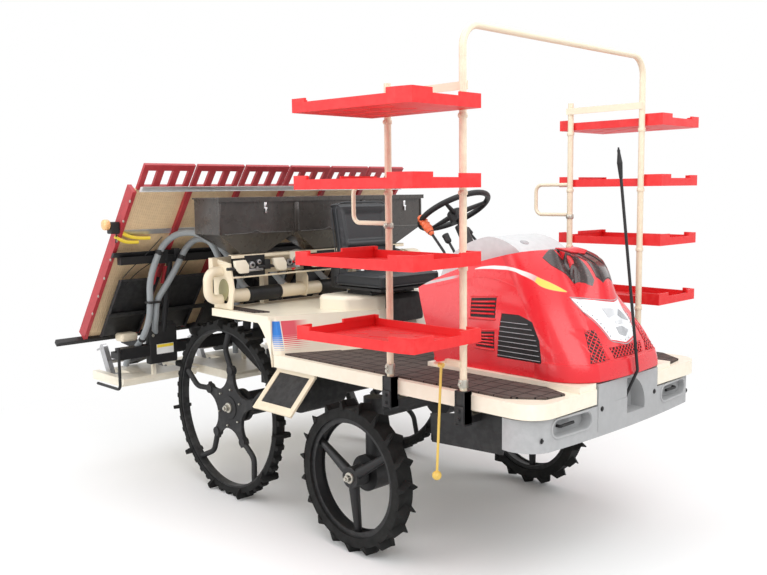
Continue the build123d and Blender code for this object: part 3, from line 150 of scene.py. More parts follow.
bpy.ops.object.select_all(action="DESELECT")
bpy.ops.mesh.primitive_grid_add(x_subdivisions=8, y_subdivisions=8, size=30, location=(0, 0, -0.001))
floor = bpy.context.object
floor.name = "studio_floor"
pale = bpy.data.materials.new("studio_floor")
pale.use_nodes = True
ground = pale.node_tree
lit = ground.nodes["Principled BSDF"]
lit.inputs["Base Color"].default_value = (0.93, 0.93, 0.93, 1)
lit.inputs["Roughness"].default_value = 0.9
far = put(ground, "ShaderNodeVectorMath", {0: place_in(ground)}, operation="LENGTH")
fade = put(ground, "ShaderNodeMapRange",
           {"Value": far.outputs["Value"], "From Min": FADE_FROM, "From Max": FADE_TO})
faded = combine(ground, "MULTIPLY", fade.outputs["Result"], seen_rays(ground))
show(ground, faded, lit, put(ground, "ShaderNodeEmission"), "Material Output")
floor.data.materials.append(pale)
print("the floor turns white between", FADE_FROM, "and", FADE_TO, "metres")

# %% Lamps
# place, aimed at, width in metres, watts
LAMPS = (((4.5, -2.2, 4.6), (0, 0, 0.9), 4.5, 205),
         ((-1.5, -5.5, 3.4), (-0.4, 0, 0.8), 5.0, 190),
         ((3.0, 4.5, 4.4), (0, 0, 1.0), 4.5, 100),
         ((-0.3, 0.2, 6.0), (0, 0, 0.5), 6.0, 150))
for place, aim, width, watts in LAMPS:
    bpy.ops.object.light_add(type="AREA", location=place)
    lamp = bpy.context.object
    lamp.data.size = width
    lamp.data.energy = watts
    lamp.rotation_euler = (Vector(aim) - Vector(place)).to_track_quat("-Z", "Y").to_euler()
print(len(LAMPS), "soft lamps")

# %% [markdown]
# ## Effects that many finishes share
# Moulded plastic, paint and rubber differ in colour, but all of them drift a little in tone,
# have a fine grain, rub bright at their edges and gather dust on top. Each effect is a node
# group with named inputs, built once. A group only puts out colours, masks and normals, and
# the shader stays in the material itself.

# %% Group helpers
FLOAT, COLOUR, VECTOR = "NodeSocketFloat", "NodeSocketColor", "NodeSocketVector"


def new_group(name, sockets_in, sockets_out):
    """An empty shader group, with its sockets named in tables of (name, type, value)."""
    group = bpy.data.node_groups.new(name, "ShaderNodeTree")
    for label, kind, value in sockets_in:
        socket = group.interface.new_socket(name=label, in_out="INPUT", socket_type=kind)
        socket.default_value = value
    for label, kind in sockets_out:
        group.interface.new_socket(name=label, in_out="OUTPUT", socket_type=kind)
    return group, group.nodes.new("NodeGroupInput").outputs, group.nodes.new("NodeGroupOutput").inputs


def noise_in(tree, scale, detail=3.0, rough=0.55):
    """A noise value. Its scale may be a number or a socket."""
    return put(tree, "ShaderNodeTexNoise", {"Vector": place_in(tree), "Scale": scale, "Detail": detail,
                                            "Roughness": rough}).outputs["Fac"]


def ramp_between(tree, value, low, high):
    """A value spread from 0 to 1 between two limits."""
    return put(tree, "ShaderNodeMapRange", {"Value": value, "From Min": low, "From Max": high}).outputs["Result"]


def times(tree, first, *others):
    """Masks and numbers multiplied."""
    for value in others:
        first = combine(tree, "MULTIPLY", first, value)
    return first


def blend_colour(tree, share, first, second):
    """Two colours mixed by a mask. Each may be a tuple or a socket."""
    first, second = ((*colour, 1) if isinstance(colour, tuple) else colour for colour in (first, second))
    return put(tree, "ShaderNodeMix", {"Factor": share, 6: first, 7: second}, data_type="RGBA").outputs[2]


# %% Tone drift, edge rub, dust and grain
tone_drift, entry, leave = new_group(
    "tone_drift", [("Colour", COLOUR, (0.5, 0.5, 0.5, 1)), ("Other colour", COLOUR, (0.4, 0.4, 0.4, 1)),
                   ("Scale", FLOAT, 3.0), ("Amount", FLOAT, 0.5)], [("Colour", COLOUR)])
cloud = ramp_between(tone_drift, noise_in(tone_drift, entry["Scale"], 4), 0.35, 0.7)
share = times(tone_drift, cloud, entry["Amount"])
tone_drift.links.new(blend_colour(tone_drift, share, entry["Colour"], entry["Other colour"]), leave["Colour"])

edge_rub, entry, leave = new_group(
    "edge_rub", [("Width", FLOAT, 0.52), ("Amount", FLOAT, 0.5)], [("Mask", FLOAT)])
shape = put(edge_rub, "ShaderNodeNewGeometry").outputs
rim = ramp_between(edge_rub, shape["Pointiness"], entry["Width"], 0.62)
patchy = ramp_between(edge_rub, noise_in(edge_rub, 35.0, 5), 0.4, 0.62)
edge_rub.links.new(times(edge_rub, rim, patchy, entry["Amount"]), leave["Mask"])

dust_film, entry, leave = new_group(
    "dust_film", [("Amount", FLOAT, 0.3), ("Scale", FLOAT, 9.0)], [("Mask", FLOAT)])
shape = put(dust_film, "ShaderNodeNewGeometry").outputs
split = put(dust_film, "ShaderNodeSeparateXYZ", {0: shape["Normal"]}).outputs
upward = ramp_between(dust_film, split["Z"], -0.2, 1.0)
cloud = ramp_between(dust_film, noise_in(dust_film, entry["Scale"], 6, 0.65), 0.38, 0.72)
dust_film.links.new(times(dust_film, upward, cloud, entry["Amount"]), leave["Mask"])

fine_grain, entry, leave = new_group(
    "fine_grain", [("Scale", FLOAT, 400.0), ("Depth", FLOAT, 0.2)], [("Normal", VECTOR)])
grain = noise_in(fine_grain, entry["Scale"], 2, 0.5)
bump = put(fine_grain, "ShaderNodeBump", {"Distance": 0.0006, "Strength": entry["Depth"], "Height": grain})
fine_grain.links.new(bump.outputs[0], leave["Normal"])
print("shared effects:", [g.name for g in bpy.data.node_groups])

# %% [markdown]
# ## Finishes
# A finish is one call: its colour, a second tone that it drifts towards, how rough it is, how
# deep its grain goes and how much it is rubbed and dusty. The numbers that are the same all
# over a surface sit on the shader's own sockets, because they have to survive the export.

# %% The finish maker
def finish(name, colour, other, rough, grain=400.0, depth=0.2, drift=3.0, amount=0.6, rub=0.3, rubbed=None,
           dust=0.1, metal=0.0, coat=0.0, coat_rough=0.1, dust_colour=(0.45, 0.42, 0.37), specular=0.5):
    """A painted, moulded or rubber finish made of the shared effects."""
    material = bpy.data.materials.new(name)
    material.use_nodes = True
    tree = material.node_tree

    def effect(group, values):
        return put(tree, "ShaderNodeGroup", values, node_tree=group).outputs[0]

    tone = effect(tone_drift, {"Colour": (*colour, 1), "Other colour": (*other, 1), "Scale": drift,
                               "Amount": amount})
    bright = rubbed or tuple(min(1.0, c * 1.35 + 0.04) for c in colour)
    worn = blend_colour(tree, effect(edge_rub, {"Amount": rub}), tone, bright)
    dusty = blend_colour(tree, effect(dust_film, {"Amount": dust}), worn, dust_colour)
    uneven = put(tree, "ShaderNodeMapRange", {"Value": noise_in(tree, 14.0, 4), "To Min": rough - 0.05,
                                              "To Max": min(1.0, rough + 0.09)})
    inputs = tree.nodes["Principled BSDF"].inputs
    tree.links.new(dusty, inputs["Base Color"])
    tree.links.new(uneven.outputs["Result"], inputs["Roughness"])
    tree.links.new(effect(fine_grain, {"Scale": grain, "Depth": depth}), inputs["Normal"])
    for label, value in {"Metallic": metal, "Coat Weight": coat, "Coat Roughness": coat_rough,
                         "Specular IOR Level": specular}.items():
        inputs[label].default_value = value
    return material


def bumped(material, height, strength, distance, invert=False):
    """Lay a bump over the grain that a finish already has."""
    tree = material.node_tree
    normal = tree.nodes["Principled BSDF"].inputs["Normal"]
    bump = put(tree, "ShaderNodeBump", {"Strength": strength, "Distance": distance, "Height": height,
                                        "Normal": normal.links[0].from_socket}, invert=invert)
    tree.links.new(bump.outputs[0], normal)


# %% Paints and plastics
cream_paint = finish("cream_paint", (0.80, 0.70, 0.53), (0.74, 0.63, 0.46), 0.36, 260, 0.10, 2.5, 0.5, 0.25,
                     dust=0.08, coat=0.25)
cream_panel = finish("cream_panel", (0.86, 0.79, 0.65), (0.81, 0.73, 0.58), 0.36, 420, 0.10, 1.6, 0.5, 0.15,
                     dust=0.08, coat=0.15)
hood_paint = finish("hood_paint", (0.72, 0.020, 0.030), (0.64, 0.014, 0.024), 0.26, 180, 0.03, 1.4, 0.5, 0.1,
                    rubbed=(0.8, 0.07, 0.07), dust=0.01, coat=0.35, coat_rough=0.12, specular=0.35)
tray_plastic = finish("tray_plastic", (0.78, 0.022, 0.024), (0.70, 0.015, 0.018), 0.42, 500, 0.16, 3, 0.5, 0.2,
                      rubbed=(0.86, 0.10, 0.09), dust=0.02, specular=0.35)
rack_crimson = finish("rack_crimson", (0.40, 0.036, 0.044), (0.34, 0.028, 0.036), 0.38, 450, 0.16, 3, 0.5, 0.3,
                      rubbed=(0.55, 0.05, 0.06), dust=0.03, specular=0.4)
bumper_plastic = finish("bumper_plastic", (0.38, 0.385, 0.39), (0.33, 0.335, 0.34), 0.55, 520, 0.35, 2, 0.5,
                        0.2, dust=0.06)
dash_plastic = finish("dash_plastic", (0.60, 0.62, 0.63), (0.54, 0.56, 0.57), 0.45, 520, 0.30, 2, 0.5, 0.15,
                      dust=0.05)
black_plastic = finish("black_plastic", (0.010, 0.010, 0.011), (0.017, 0.017, 0.018), 0.48, 480, 0.30, 4, 0.7,
                       0.35, rubbed=(0.055, 0.055, 0.055), dust=0.04, specular=0.35)
black_paint = finish("black_paint", (0.009, 0.009, 0.010), (0.016, 0.016, 0.017), 0.42, 240, 0.14, 4, 0.7,
                     0.35, rubbed=(0.05, 0.05, 0.05), dust=0.04, specular=0.35)
cast_black = finish("cast_black", (0.011, 0.011, 0.012), (0.020, 0.020, 0.021), 0.58, 150, 0.55, 5, 0.7, 0.4,
                    rubbed=(0.07, 0.07, 0.07), dust=0.05, specular=0.35)
tyre_rubber = finish("tyre_rubber", (0.008, 0.008, 0.008), (0.015, 0.015, 0.014), 0.78, 320, 0.40, 6, 0.8, 0.3,
                     rubbed=(0.035, 0.035, 0.035), dust=0.05, dust_colour=(0.09, 0.085, 0.075), specular=0.2)
mat_rubber = finish("mat_rubber", (0.075, 0.056, 0.050), (0.096, 0.074, 0.066), 0.74, 300, 0.40, 5, 0.8, 0.3,
                    rubbed=(0.15, 0.12, 0.11), dust=0.10, dust_colour=(0.18, 0.15, 0.13), specular=0.2)
hose_rubber = finish("hose_rubber", (0.27, 0.29, 0.30), (0.22, 0.24, 0.25), 0.50, 300, 0.25, 5, 0.6, 0.2,
                     dust=0.06)
knob_orange = finish("knob_orange", (0.78, 0.15, 0.045), (0.68, 0.11, 0.03), 0.42, 300, 0.20, 6, 0.6, 0.2,
                     coat=0.1)
tube_yellow = finish("tube_yellow", (0.86, 0.64, 0.04), (0.78, 0.54, 0.03), 0.40, 300, 0.12, 5, 0.6, 0.2,
                     coat=0.2)
rod_yellow = finish("rod_yellow", (0.70, 0.48, 0.10), (0.60, 0.40, 0.08), 0.42, 300, 0.12, 5, 0.6, 0.3)
print(len(bpy.data.materials), "finishes so far")

# %% Metals
steel = finish("steel", (0.52, 0.52, 0.53), (0.42, 0.42, 0.43), 0.32, 300, 0.14, 8, 0.6, 0.3, metal=0.9,
               dust=0.05)
chrome = finish("chrome", (0.78, 0.78, 0.79), (0.72, 0.72, 0.73), 0.12, 200, 0.03, 6, 0.4, 0.1, metal=1.0,
                dust=0.02)
aluminium = finish("aluminium", (0.66, 0.66, 0.66), (0.58, 0.58, 0.58), 0.36, 300, 0.12, 6, 0.5, 0.3,
                   metal=0.85, dust=0.05)
zinc = finish("zinc", (0.50, 0.48, 0.42), (0.42, 0.40, 0.35), 0.36, 260, 0.15, 9, 0.7, 0.3, metal=0.8,
              dust=0.05)

# %% [markdown]
# ## Seedling board
# Behind the seat, seedling mats slide down a beige plastic board. Fine ribs run down the slope
# so that wet roots don't stick. The ribs are far finer than anything worth modelling, so a wave
# across the machine drives a bump.

# %% Board finish
board_beige = finish("board_beige", (0.72, 0.53, 0.32), (0.63, 0.46, 0.27), 0.46, 420, 0.12, 4, 0.7, 0.2,
                     dust=0.1)
tree = board_beige.node_tree
wave = put(tree, "ShaderNodeTexWave", {"Vector": place_in(tree), "Scale": 26, "Distortion": 0.0},
           bands_direction="Y")
bumped(board_beige, wave.outputs["Fac"], 0.6, 0.002)
print("board finish has", len(tree.nodes), "nodes")

# %% Hopper, seat and headlamp
hopper_smoke = finish("hopper_smoke", (0.030, 0.026, 0.024), (0.050, 0.043, 0.038), 0.26, 300, 0.06, 3, 0.8,
                      0.2, rubbed=(0.11, 0.10, 0.09), dust=0.04, coat=0.25)
seat_vinyl = finish("seat_vinyl", (0.015, 0.017, 0.020), (0.022, 0.024, 0.028), 0.40, 900, 0.5, 4, 0.6, 0.2,
                    rubbed=(0.06, 0.06, 0.065), dust=0.04, dust_colour=(0.15, 0.15, 0.15))
lamp_clear = finish("lamp_clear", (0.86, 0.88, 0.90), (0.78, 0.80, 0.83), 0.10, 200, 0.02, 6, 0.5, 0.1,
                    coat=0.8)

# %% Small finishes
lamp_grey = finish("lamp_grey", (0.40, 0.41, 0.43), (0.30, 0.31, 0.33), 0.25, 300, 0.05, 9, 0.6, 0.1,
                   dust=0.02, coat=0.3)
lamp_reflection_silver = finish("lamp_reflection_silver", (0.66, 0.67, 0.69), (0.58, 0.59, 0.61), 0.22, 300, 0.05, 9, 0.6, 0.1,
                     dust=0.02, coat=0.3)
lamp_amber = finish("lamp_amber", (0.86, 0.50, 0.22), (0.80, 0.42, 0.16), 0.22, 300, 0.05, 9, 0.5, 0.1,
                    dust=0.03, coat=0.5)
olive_tint = finish("olive_tint", (0.30, 0.28, 0.14), (0.24, 0.22, 0.10), 0.36, 400, 0.10, 9, 0.6, 0.2,
                    dust=0.05, coat=0.2)
plate_white = finish("plate_white", (0.82, 0.83, 0.80), (0.74, 0.75, 0.72), 0.42, 500, 0.06, 9, 0.5, 0.2,
                     dust=0.08)
print(len(bpy.data.materials), "finishes so far")

# %% [markdown]
# ## Stripes on the hood and the rear platform
# A white flash with a yellow point runs along the hood's shoulder, and the platform's front
# corner has a blue and a red block that break up into thin lines below. Both are flat colours
# on a painted skin, so they are masks in the paint and not pieces. A Float Curve node turns the
# place along the machine into the height of a drawn line, and the colour changes where the
# surface crosses that line.

# %% Mask helpers
def station_value(tree, axis):
    """The X, Y or Z of a point in station millimetres, Y without its sign."""
    split = put(tree, "ShaderNodeSeparateXYZ", {0: place_in(tree)}).outputs
    change = "ABSOLUTE" if axis == "Y" else "SUBTRACT"
    return combine(tree, change, times(tree, split[axis], 1000.0), AXLE_SHIFT if axis == "X" else 0)


def drawn_line(tree, value, points):
    """A height that follows drawn points (station, height) as the value runs along them."""
    low, high = points[0][0], points[-1][0]
    floor_z, roof_z = min(z for _, z in points), max(z for _, z in points)
    line = put(tree, "ShaderNodeFloatCurve", {"Value": ramp_between(tree, value, low, high)})
    marks = line.mapping.curves[0].points
    scaled = [((x - low) / (high - low), (z - floor_z) / (roof_z - floor_z)) for x, z in points]
    marks[0].location, marks[1].location = scaled[0], scaled[-1]
    for place in scaled[1:-1]:
        marks.new(*place)
    line.mapping.update()
    back = put(tree, "ShaderNodeMapRange", {"Value": line.outputs[0], "To Min": floor_z, "To Max": roof_z})
    return back.outputs["Result"]


def above(tree, value, line, soft=0.8):
    """1 where the value is above a line, 0 below it. The line may be a number or a socket."""
    return ramp_between(tree, combine(tree, "SUBTRACT", value, line), -soft, soft)


def below(tree, value, line, soft=0.8):
    """1 where the value is below a line."""
    return combine(tree, "SUBTRACT", 1, above(tree, value, line, soft))


def painted_over(material, mask, colour):
    """Lay a colour over a finish where a mask is 1."""
    tree = material.node_tree
    base = tree.nodes["Principled BSDF"].inputs["Base Color"]
    tree.links.new(blend_colour(tree, mask, base.links[0].from_socket, colour), base)


# %% Scoop plastic with a mesh behind it
scoop_smoke = finish("scoop_smoke", (0.020, 0.012, 0.012), (0.050, 0.022, 0.022), 0.20, 300, 0.05, 12, 0.9,
                     0.2, rubbed=(0.2, 0.1, 0.1), dust=0.02, coat=0.5)
tree = scoop_smoke.node_tree
weave = put(tree, "ShaderNodeTexVoronoi", {"Vector": place_in(tree), "Scale": 95})
painted_over(scoop_smoke, below(tree, weave.outputs["Distance"], 0.20, 0.10), (0.12, 0.06, 0.06))
print("scoop finish has", len(tree.nodes), "nodes")

# %% White flash with a yellow point
tree = hood_paint.node_tree
x, z = station_value(tree, "X"), station_value(tree, "Z")
top_line = drawn_line(tree, x, [(330, 1206), (381, 1219), (477, 1223), (572, 1208), (647, 1180), (690, 1160),
                                (735, 1131)])
low_line = drawn_line(tree, x, [(330, 1204), (406, 1209), (509, 1207), (573, 1191), (615, 1176), (668, 1148),
                                (735, 1130)])
flash = times(tree, above(tree, z, low_line), below(tree, z, top_line), above(tree, x, 331), below(tree, x, 734))
painted_over(hood_paint, flash, (0.86, 0.84, 0.82))
painted_over(hood_paint, times(tree, flash, ramp_between(tree, x, 570, 640)), (0.62, 0.26, 0.26))
painted_over(hood_paint, times(tree, flash, above(tree, x, 628, 3)), (0.90, 0.62, 0.10))
strip_low = drawn_line(tree, x, [(100, 1128), (310, 1178)])
strip_top = drawn_line(tree, x, [(100, 1140), (310, 1190)])
strip = times(tree, above(tree, z, strip_low), below(tree, z, strip_top), below(tree, x, 250, 20))
painted_over(hood_paint, strip, (0.50, 0.46, 0.46))
print("hood paint has", len(tree.nodes), "nodes")

# %% Blue and red blocks that break into lines
deck_paint = finish("deck_paint", (0.87, 0.80, 0.65), (0.82, 0.74, 0.59), 0.36, 420, 0.10, 1.6, 0.5, 0.15,
                    dust=0.10, coat=0.15)
HALF_PITCH = 4.5
tree = deck_paint.node_tree
x, y, z = (station_value(tree, axis) for axis in "XYZ")
saw = combine(tree, "PINGPONG", z, HALF_PITCH)
lines = below(tree, saw, times(tree, ramp_between(tree, z, 795, 872), HALF_PITCH), 0.5)
either = combine(tree, "MAXIMUM", lines, above(tree, z, 870, 0.6))
band = times(tree, above(tree, z, 800), below(tree, z, 936), above(tree, x, -600), either)
blue = times(tree, band, above(tree, y, 583), below(tree, y, 619))
red = times(tree, band, ramp_between(tree, y, 455, 520), below(tree, y, 579))
painted_over(deck_paint, blue, (0.03, 0.22, 0.68))
painted_over(deck_paint, red, (0.70, 0.09, 0.12))
print("platform paint has", len(tree.nodes), "nodes")

# %% [markdown]
# ## Rubber mats
# The footboard mats are moulded with 70 mm squares between thin grooves, and the narrow mats on
# the rear platform with close ribs. A Brick texture with no offset draws the squares, and its
# joints drive both a darker colour and a bump.

# %% Squares and ribs in the mat rubber
SQUARE, GROOVE, PLATFORM_Z = 0.07, 0.0028, 900
tree = mat_rubber.node_tree
spot = place_in(tree)
squares = put(tree, "ShaderNodeTexBrick", {"Vector": spot, "Scale": 1, "Brick Width": SQUARE,
                                           "Row Height": SQUARE, "Mortar Size": GROOVE,
                                           "Mortar Smooth": 0.3}, offset=0)
ribs = put(tree, "ShaderNodeTexWave", {"Vector": spot, "Scale": 24}, bands_direction="X")
height = station_value(tree, "Z")
grooves = times(tree, squares.outputs["Fac"], below(tree, height, PLATFORM_Z))
lows = times(tree, below(tree, times(tree, ribs.outputs["Fac"], 10.0), 4.0), above(tree, height, PLATFORM_Z))
sunk = combine(tree, "MAXIMUM", grooves, lows)
painted_over(mat_rubber, sunk, (0.006, 0.005, 0.005))
bumped(mat_rubber, sunk, 1.0, 0.003, invert=True)
print("mat finish has", len(tree.nodes), "nodes")

# %% [markdown]
# ## Hand tools
# Small parts are modelled as one would by hand: a primitive is added at its size and place,
# shaped in edit mode and finished with a modifier that is applied at once. The next cells wrap
# those steps, so that each part further down reads as a short list of what was done to it.


def only(piece):
    """Select one piece and make it the active one."""
    bpy.ops.object.select_all(action="DESELECT")
    piece.select_set(True)
    bpy.context.view_layer.objects.active = piece
    return piece


def edit(piece, action="SELECT", mode=None):
    """Go into edit mode, with all of a piece selected or nothing of it."""
    only(piece)
    bpy.ops.object.mode_set(mode="EDIT")
    if mode:
        bpy.ops.mesh.select_mode(type=mode)
    bpy.ops.mesh.select_all(action=action)


def done(piece):
    """Go back to object mode."""
    bpy.ops.object.mode_set(mode="OBJECT")
    return piece


def settled(piece):
    """Put a piece's place, turn and size into its mesh."""
    only(piece)
    bpy.ops.object.transform_apply(location=True, rotation=True, scale=True)
    return piece


def modified(piece, kind, **values):
    """Add one modifier, set it and apply it."""
    only(piece)
    modifier = piece.modifiers.new(kind.lower(), kind)
    for label, value in values.items():
        setattr(modifier, label, value)
    bpy.ops.object.modifier_apply(modifier=modifier.name)
    return piece


def outward(piece):
    """Merge doubled corners and turn every face outwards."""
    edit(piece)
    bpy.ops.mesh.remove_doubles(threshold=0.00002)
    bpy.ops.mesh.normals_make_consistent(inside=False)
    return done(piece)


def rounded(piece, width, steps=2, sharp=40):
    """Bevel every edge that turns by more than an angle."""
    edit(piece, "DESELECT", "EDGE")
    bpy.ops.mesh.edges_select_sharp(sharpness=math.radians(sharp))
    bpy.ops.mesh.bevel(offset=width / 1000, segments=steps, affect="EDGES")
    return done(piece)


# %% Starting shapes
def block(x, y, z, edge=2.0, steps=2):
    """A block between pairs of stations, with rounded edges."""
    bpy.ops.object.select_all(action="DESELECT")
    bpy.ops.mesh.primitive_cube_add(size=1, location=at(sum(x) / 2, sum(y) / 2, sum(z) / 2))
    piece = bpy.context.object
    piece.scale = [(high - low) / 1000 for low, high in (x, y, z)]
    return rounded(settled(piece), edge, steps)


def rod(start, end, radius, sides=16, edge=0.8, tip=None):
    """A round bar between two stations, its rims bevelled. A tip radius makes it taper."""
    a, b = at(*start), at(*end)
    bpy.ops.object.select_all(action="DESELECT")
    bpy.ops.mesh.primitive_cone_add(vertices=sides, radius1=radius / 1000,
                                    radius2=(radius if tip is None else tip) / 1000, depth=(b - a).length,
                                    location=(a + b) / 2, rotation=(b - a).to_track_quat("Z", "Y").to_euler())
    return rounded(settled(bpy.context.object), edge, 2, 50)


def flat_face(outline, facing, level):
    """One face with its corners at an outline, across the X, Y or Z axis at a level."""
    bpy.ops.object.select_all(action="DESELECT")
    bpy.ops.mesh.primitive_circle_add(vertices=len(outline), radius=0.01, fill_type="NGON")
    piece = bpy.context.object
    for corner, (u, v) in zip(piece.data.vertices, outline):
        corner.co = at(*{"X": (level, u, v), "Y": (u, level, v), "Z": (u, v, level)}[facing])
    return piece


def plate(outline, facing, level, thick, edge=1.0, steps=1):
    """A flat face extruded to a thickness and bevelled."""
    piece = flat_face(outline, facing, level)
    push = [thick / 1000 if axis == facing else 0 for axis in "XYZ"]
    edit(piece)
    bpy.ops.mesh.extrude_region_move(TRANSFORM_OT_translate={"value": push})
    outward(done(piece))
    return rounded(piece, edge, steps) if edge else piece


def gridded(outline, facing, level, step):
    """A flat face cut into squares, so that it can bend."""
    piece = flat_face(outline, facing, level)
    edit(piece)
    for k, axis in enumerate([axis for axis in "XYZ" if axis != facing]):
        cut = min(corner[k] for corner in outline) + step
        while cut < max(corner[k] for corner in outline):
            bpy.ops.mesh.select_all(action="SELECT")
            bpy.ops.mesh.bisect(plane_co=at(*[cut if a == axis else 0 for a in "XYZ"]),
                                plane_no=[1 if a == axis else 0 for a in "XYZ"])
            cut += step
    return done(piece)


def tube(points, radius, order=3, closed=False, roundness=3):
    """A bent tube: a smooth helper curve with a round section, made a mesh."""
    run = bpy.data.curves.new("run", "CURVE")
    run.dimensions = "3D"
    run.bevel_depth, run.bevel_resolution, run.use_fill_caps = radius / 1000, roundness, True
    spline = run.splines.new("NURBS")
    spline.points.add(len(points) - 1)
    for knot, place in zip(spline.points, points):
        knot.co = (*at(*place), 1)
    spline.order_u, spline.resolution_u = order, 4
    spline.use_endpoint_u, spline.use_cyclic_u = not closed, closed
    piece = bpy.data.objects.new("run", run)
    bpy.context.collection.objects.link(piece)
    only(piece)
    bpy.ops.object.convert(target="MESH")
    return outward(bpy.context.object)


# %% Copying, joining and finishing
def copied(piece, shift=(0, 0, 0)):
    """A copy with its own mesh, moved by millimetres."""
    only(piece)
    bpy.ops.object.duplicate(linked=False)
    twin = bpy.context.object
    twin.location = Vector(shift) / 1000
    return settled(twin)


def mirrored(piece):
    """The same shape on the other side of the machine."""
    twin = copied(piece)
    twin.scale = (1, -1, 1)
    return outward(settled(twin))


def joined(pieces):
    """Several shapes as one mesh."""
    bpy.ops.object.select_all(action="DESELECT")
    for piece in pieces:
        piece.select_set(True)
    bpy.context.view_layer.objects.active = pieces[0]
    if len(pieces) > 1:
        bpy.ops.object.join()
    return bpy.context.object


def bolt_heads(places, along, across=13, height=5):
    """Six-sided heads on round washers. One is modelled, the rest are copies of it."""
    first, step = Vector(places[0]), Vector(along).normalized()
    head = joined([rod(first, first + step * 1.8, across * 0.85, 16, 0.3),
                   rod(first + step * 1.8, first + step * (1.8 + height), across * 0.57, 6, 0.7)])
    return joined([head] + [copied(head, Vector(place) - first) for place in places[1:]])


def touch(node, start, direction):
    """The station at which a straight line first meets a solid."""
    met, place, _, _ = nodes[node].ray_cast(at(*start), Vector(direction))
    if not met:
        raise ValueError(f"nothing of {node} on the line from {tuple(start)}")
    return Vector((place.x * 1000 - AXLE_SHIFT, place.y * 1000, place.z * 1000))


# triangles in each added piece, by name
added = {}


def dress(piece, name, body, material, angle=35):
    """Name a finished shape, give it its finish and let it ride on a body."""
    piece.name = piece.data.name = name
    piece.data.materials.clear()
    piece.data.materials.append(material)
    only(piece)
    bpy.ops.object.shade_smooth_by_angle(angle=math.radians(angle))
    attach(piece, body)
    added[name] = sum(len(face.vertices) - 2 for face in piece.data.polygons)
    print(f"{name}: {added[name]} triangles on {body}")
    return piece


def dress_both(piece, name, body, material, angle=35):
    """Dress a right-hand shape and its mirror image. A * in a name becomes right or left."""
    for shape, hand in ((mirrored(piece), "left"), (piece, "right")):
        dress(shape, name.replace("*", hand), body.replace("*", hand), material, angle)


# %% Give every solid its finish
FINISH_OF = {
    cream_paint: ("rack_frames", "top_arch", "side_steps", "fertiliser_frame", "blower", "marker_arms"),
    cream_panel: ("deck_front", "floats"),
    deck_paint: ("deck_rear",),
    hood_paint: ("hood_shell",),
    tray_plastic: ("rack_trays",),
    rack_crimson: ("table_frame", "table_extensions"),
    bumper_plastic: ("front_bumper",),
    dash_plastic: ("dash_cowl",),
    black_plastic: ("hood_grilles", "bumper_fittings", "steering_wheel", "control_levers",
                    "unit_covers", "metering_units", "centre_marker", "step_pads"),
    scoop_smoke: ("hood_scoop",),
    black_paint: ("main_frame", "seat_base", "planting_frame", "side_guards", "steering_column",
                  "front_rim_left", "front_rim_right", "front_axle", "front_knuckle_left",
                  "front_knuckle_right", "lift_lower_link", "lift_upper_link", "planting_cases"),
    cast_black: ("rear_axle", "engine_block", "rear_spider_left", "rear_spider_right"),
    tyre_rubber: ("front_tyre_left", "front_tyre_right", "rear_tyre_left", "rear_tyre_right"),
    mat_rubber: ("foot_mats",),
    seat_vinyl: ("seat_cushion", "seat_back"),
    hopper_smoke: ("hopper", "hopper_lids"),
    hose_rubber: ("fertiliser_hoses",),
    steel: ("planting_rotors", "lift_cylinder"),
    chrome: ("lift_rod",),
    aluminium: ("table_rails",),
    rod_yellow: ("side_marker_left", "side_marker_right"),
    board_beige: ("table_board",),
    lamp_clear: ("hood_lamp",),
}
for material, names in FINISH_OF.items():
    for name in names:
        nodes[name].data.materials.clear()
        nodes[name].data.materials.append(material)
unfinished = sorted(n for n in nodes if not any(n in names for names in FINISH_OF.values()))
print("solids without a finish:", unfinished or "none")

# %% [markdown]
# ## Hood vents and lattices
# Each side of the hood has two slotted vents behind the front post and one large black louvre.
# The slots are dark gaps between red bars, so the bars are what is modelled, laid across the
# black solid that closes the opening. A ray is sent to the solid for both ends of each bar, so
# that it lies on the curved skin. Blades fill the louvre in the same way, and a thin pale grey
# rod along the front of each blade is a painted highlight on its edge.
# Beside the lamp, a thin red skin smooths each corner. The lattices there are moulded in the
# hood's own red: bars cross in both directions over a thin black patch. A raised crease runs
# along each shoulder, down to the corner.

# %% Bars across the side vents
def between(a, b, share):
    """A place part of the way from one place to another."""
    return tuple(p + (q - p) * share for p, q in zip(a, b))


BESIDE, INWARD = -700, (0, 1, 0)


def on_side(node, x, z, proud=0.0):
    """A station on the machine's right skin, a little proud of it."""
    return Vector((x, touch(node, (x, BESIDE, z), INWARD).y - proud, z))


VENTS = {"upper": ((352, 1089), (478, 1099), (488, 1018), (362, 1014)),
         "lower": ((384, 954), (493, 965), (499, 896), (405, 897))}
for label, (rear_top, front_top, front_low, rear_low) in VENTS.items():
    bars = []
    for i in range(1, 5):
        a, b = between(rear_top, rear_low, i / 5), between(front_top, front_low, i / 5)
        a, b = between(a, b, 0.04), between(a, b, 0.96)
        bars.append(rod(on_side("hood_grilles", *a, 4), on_side("hood_grilles", *b, 4), 4.2, 8, 0.5))
    lip = (rear_low[0] - 4, rear_low[1] - 6), (front_low[0] + 2, front_low[1] - 6)
    bars.append(rod(*(on_side("hood_shell", *end, 1) for end in lip), 4.5, 10, 1.5))
    brow = (rear_top[0] - 3, rear_top[1] + 6), (front_top[0] + 3, front_top[1] + 6)
    bars.append(rod(*(on_side("hood_shell", *end, 0) for end in brow), 3, 10, 1))
    dress_both(joined(bars), f"hood_{label}_vent_bars_*", "hood", hood_paint)

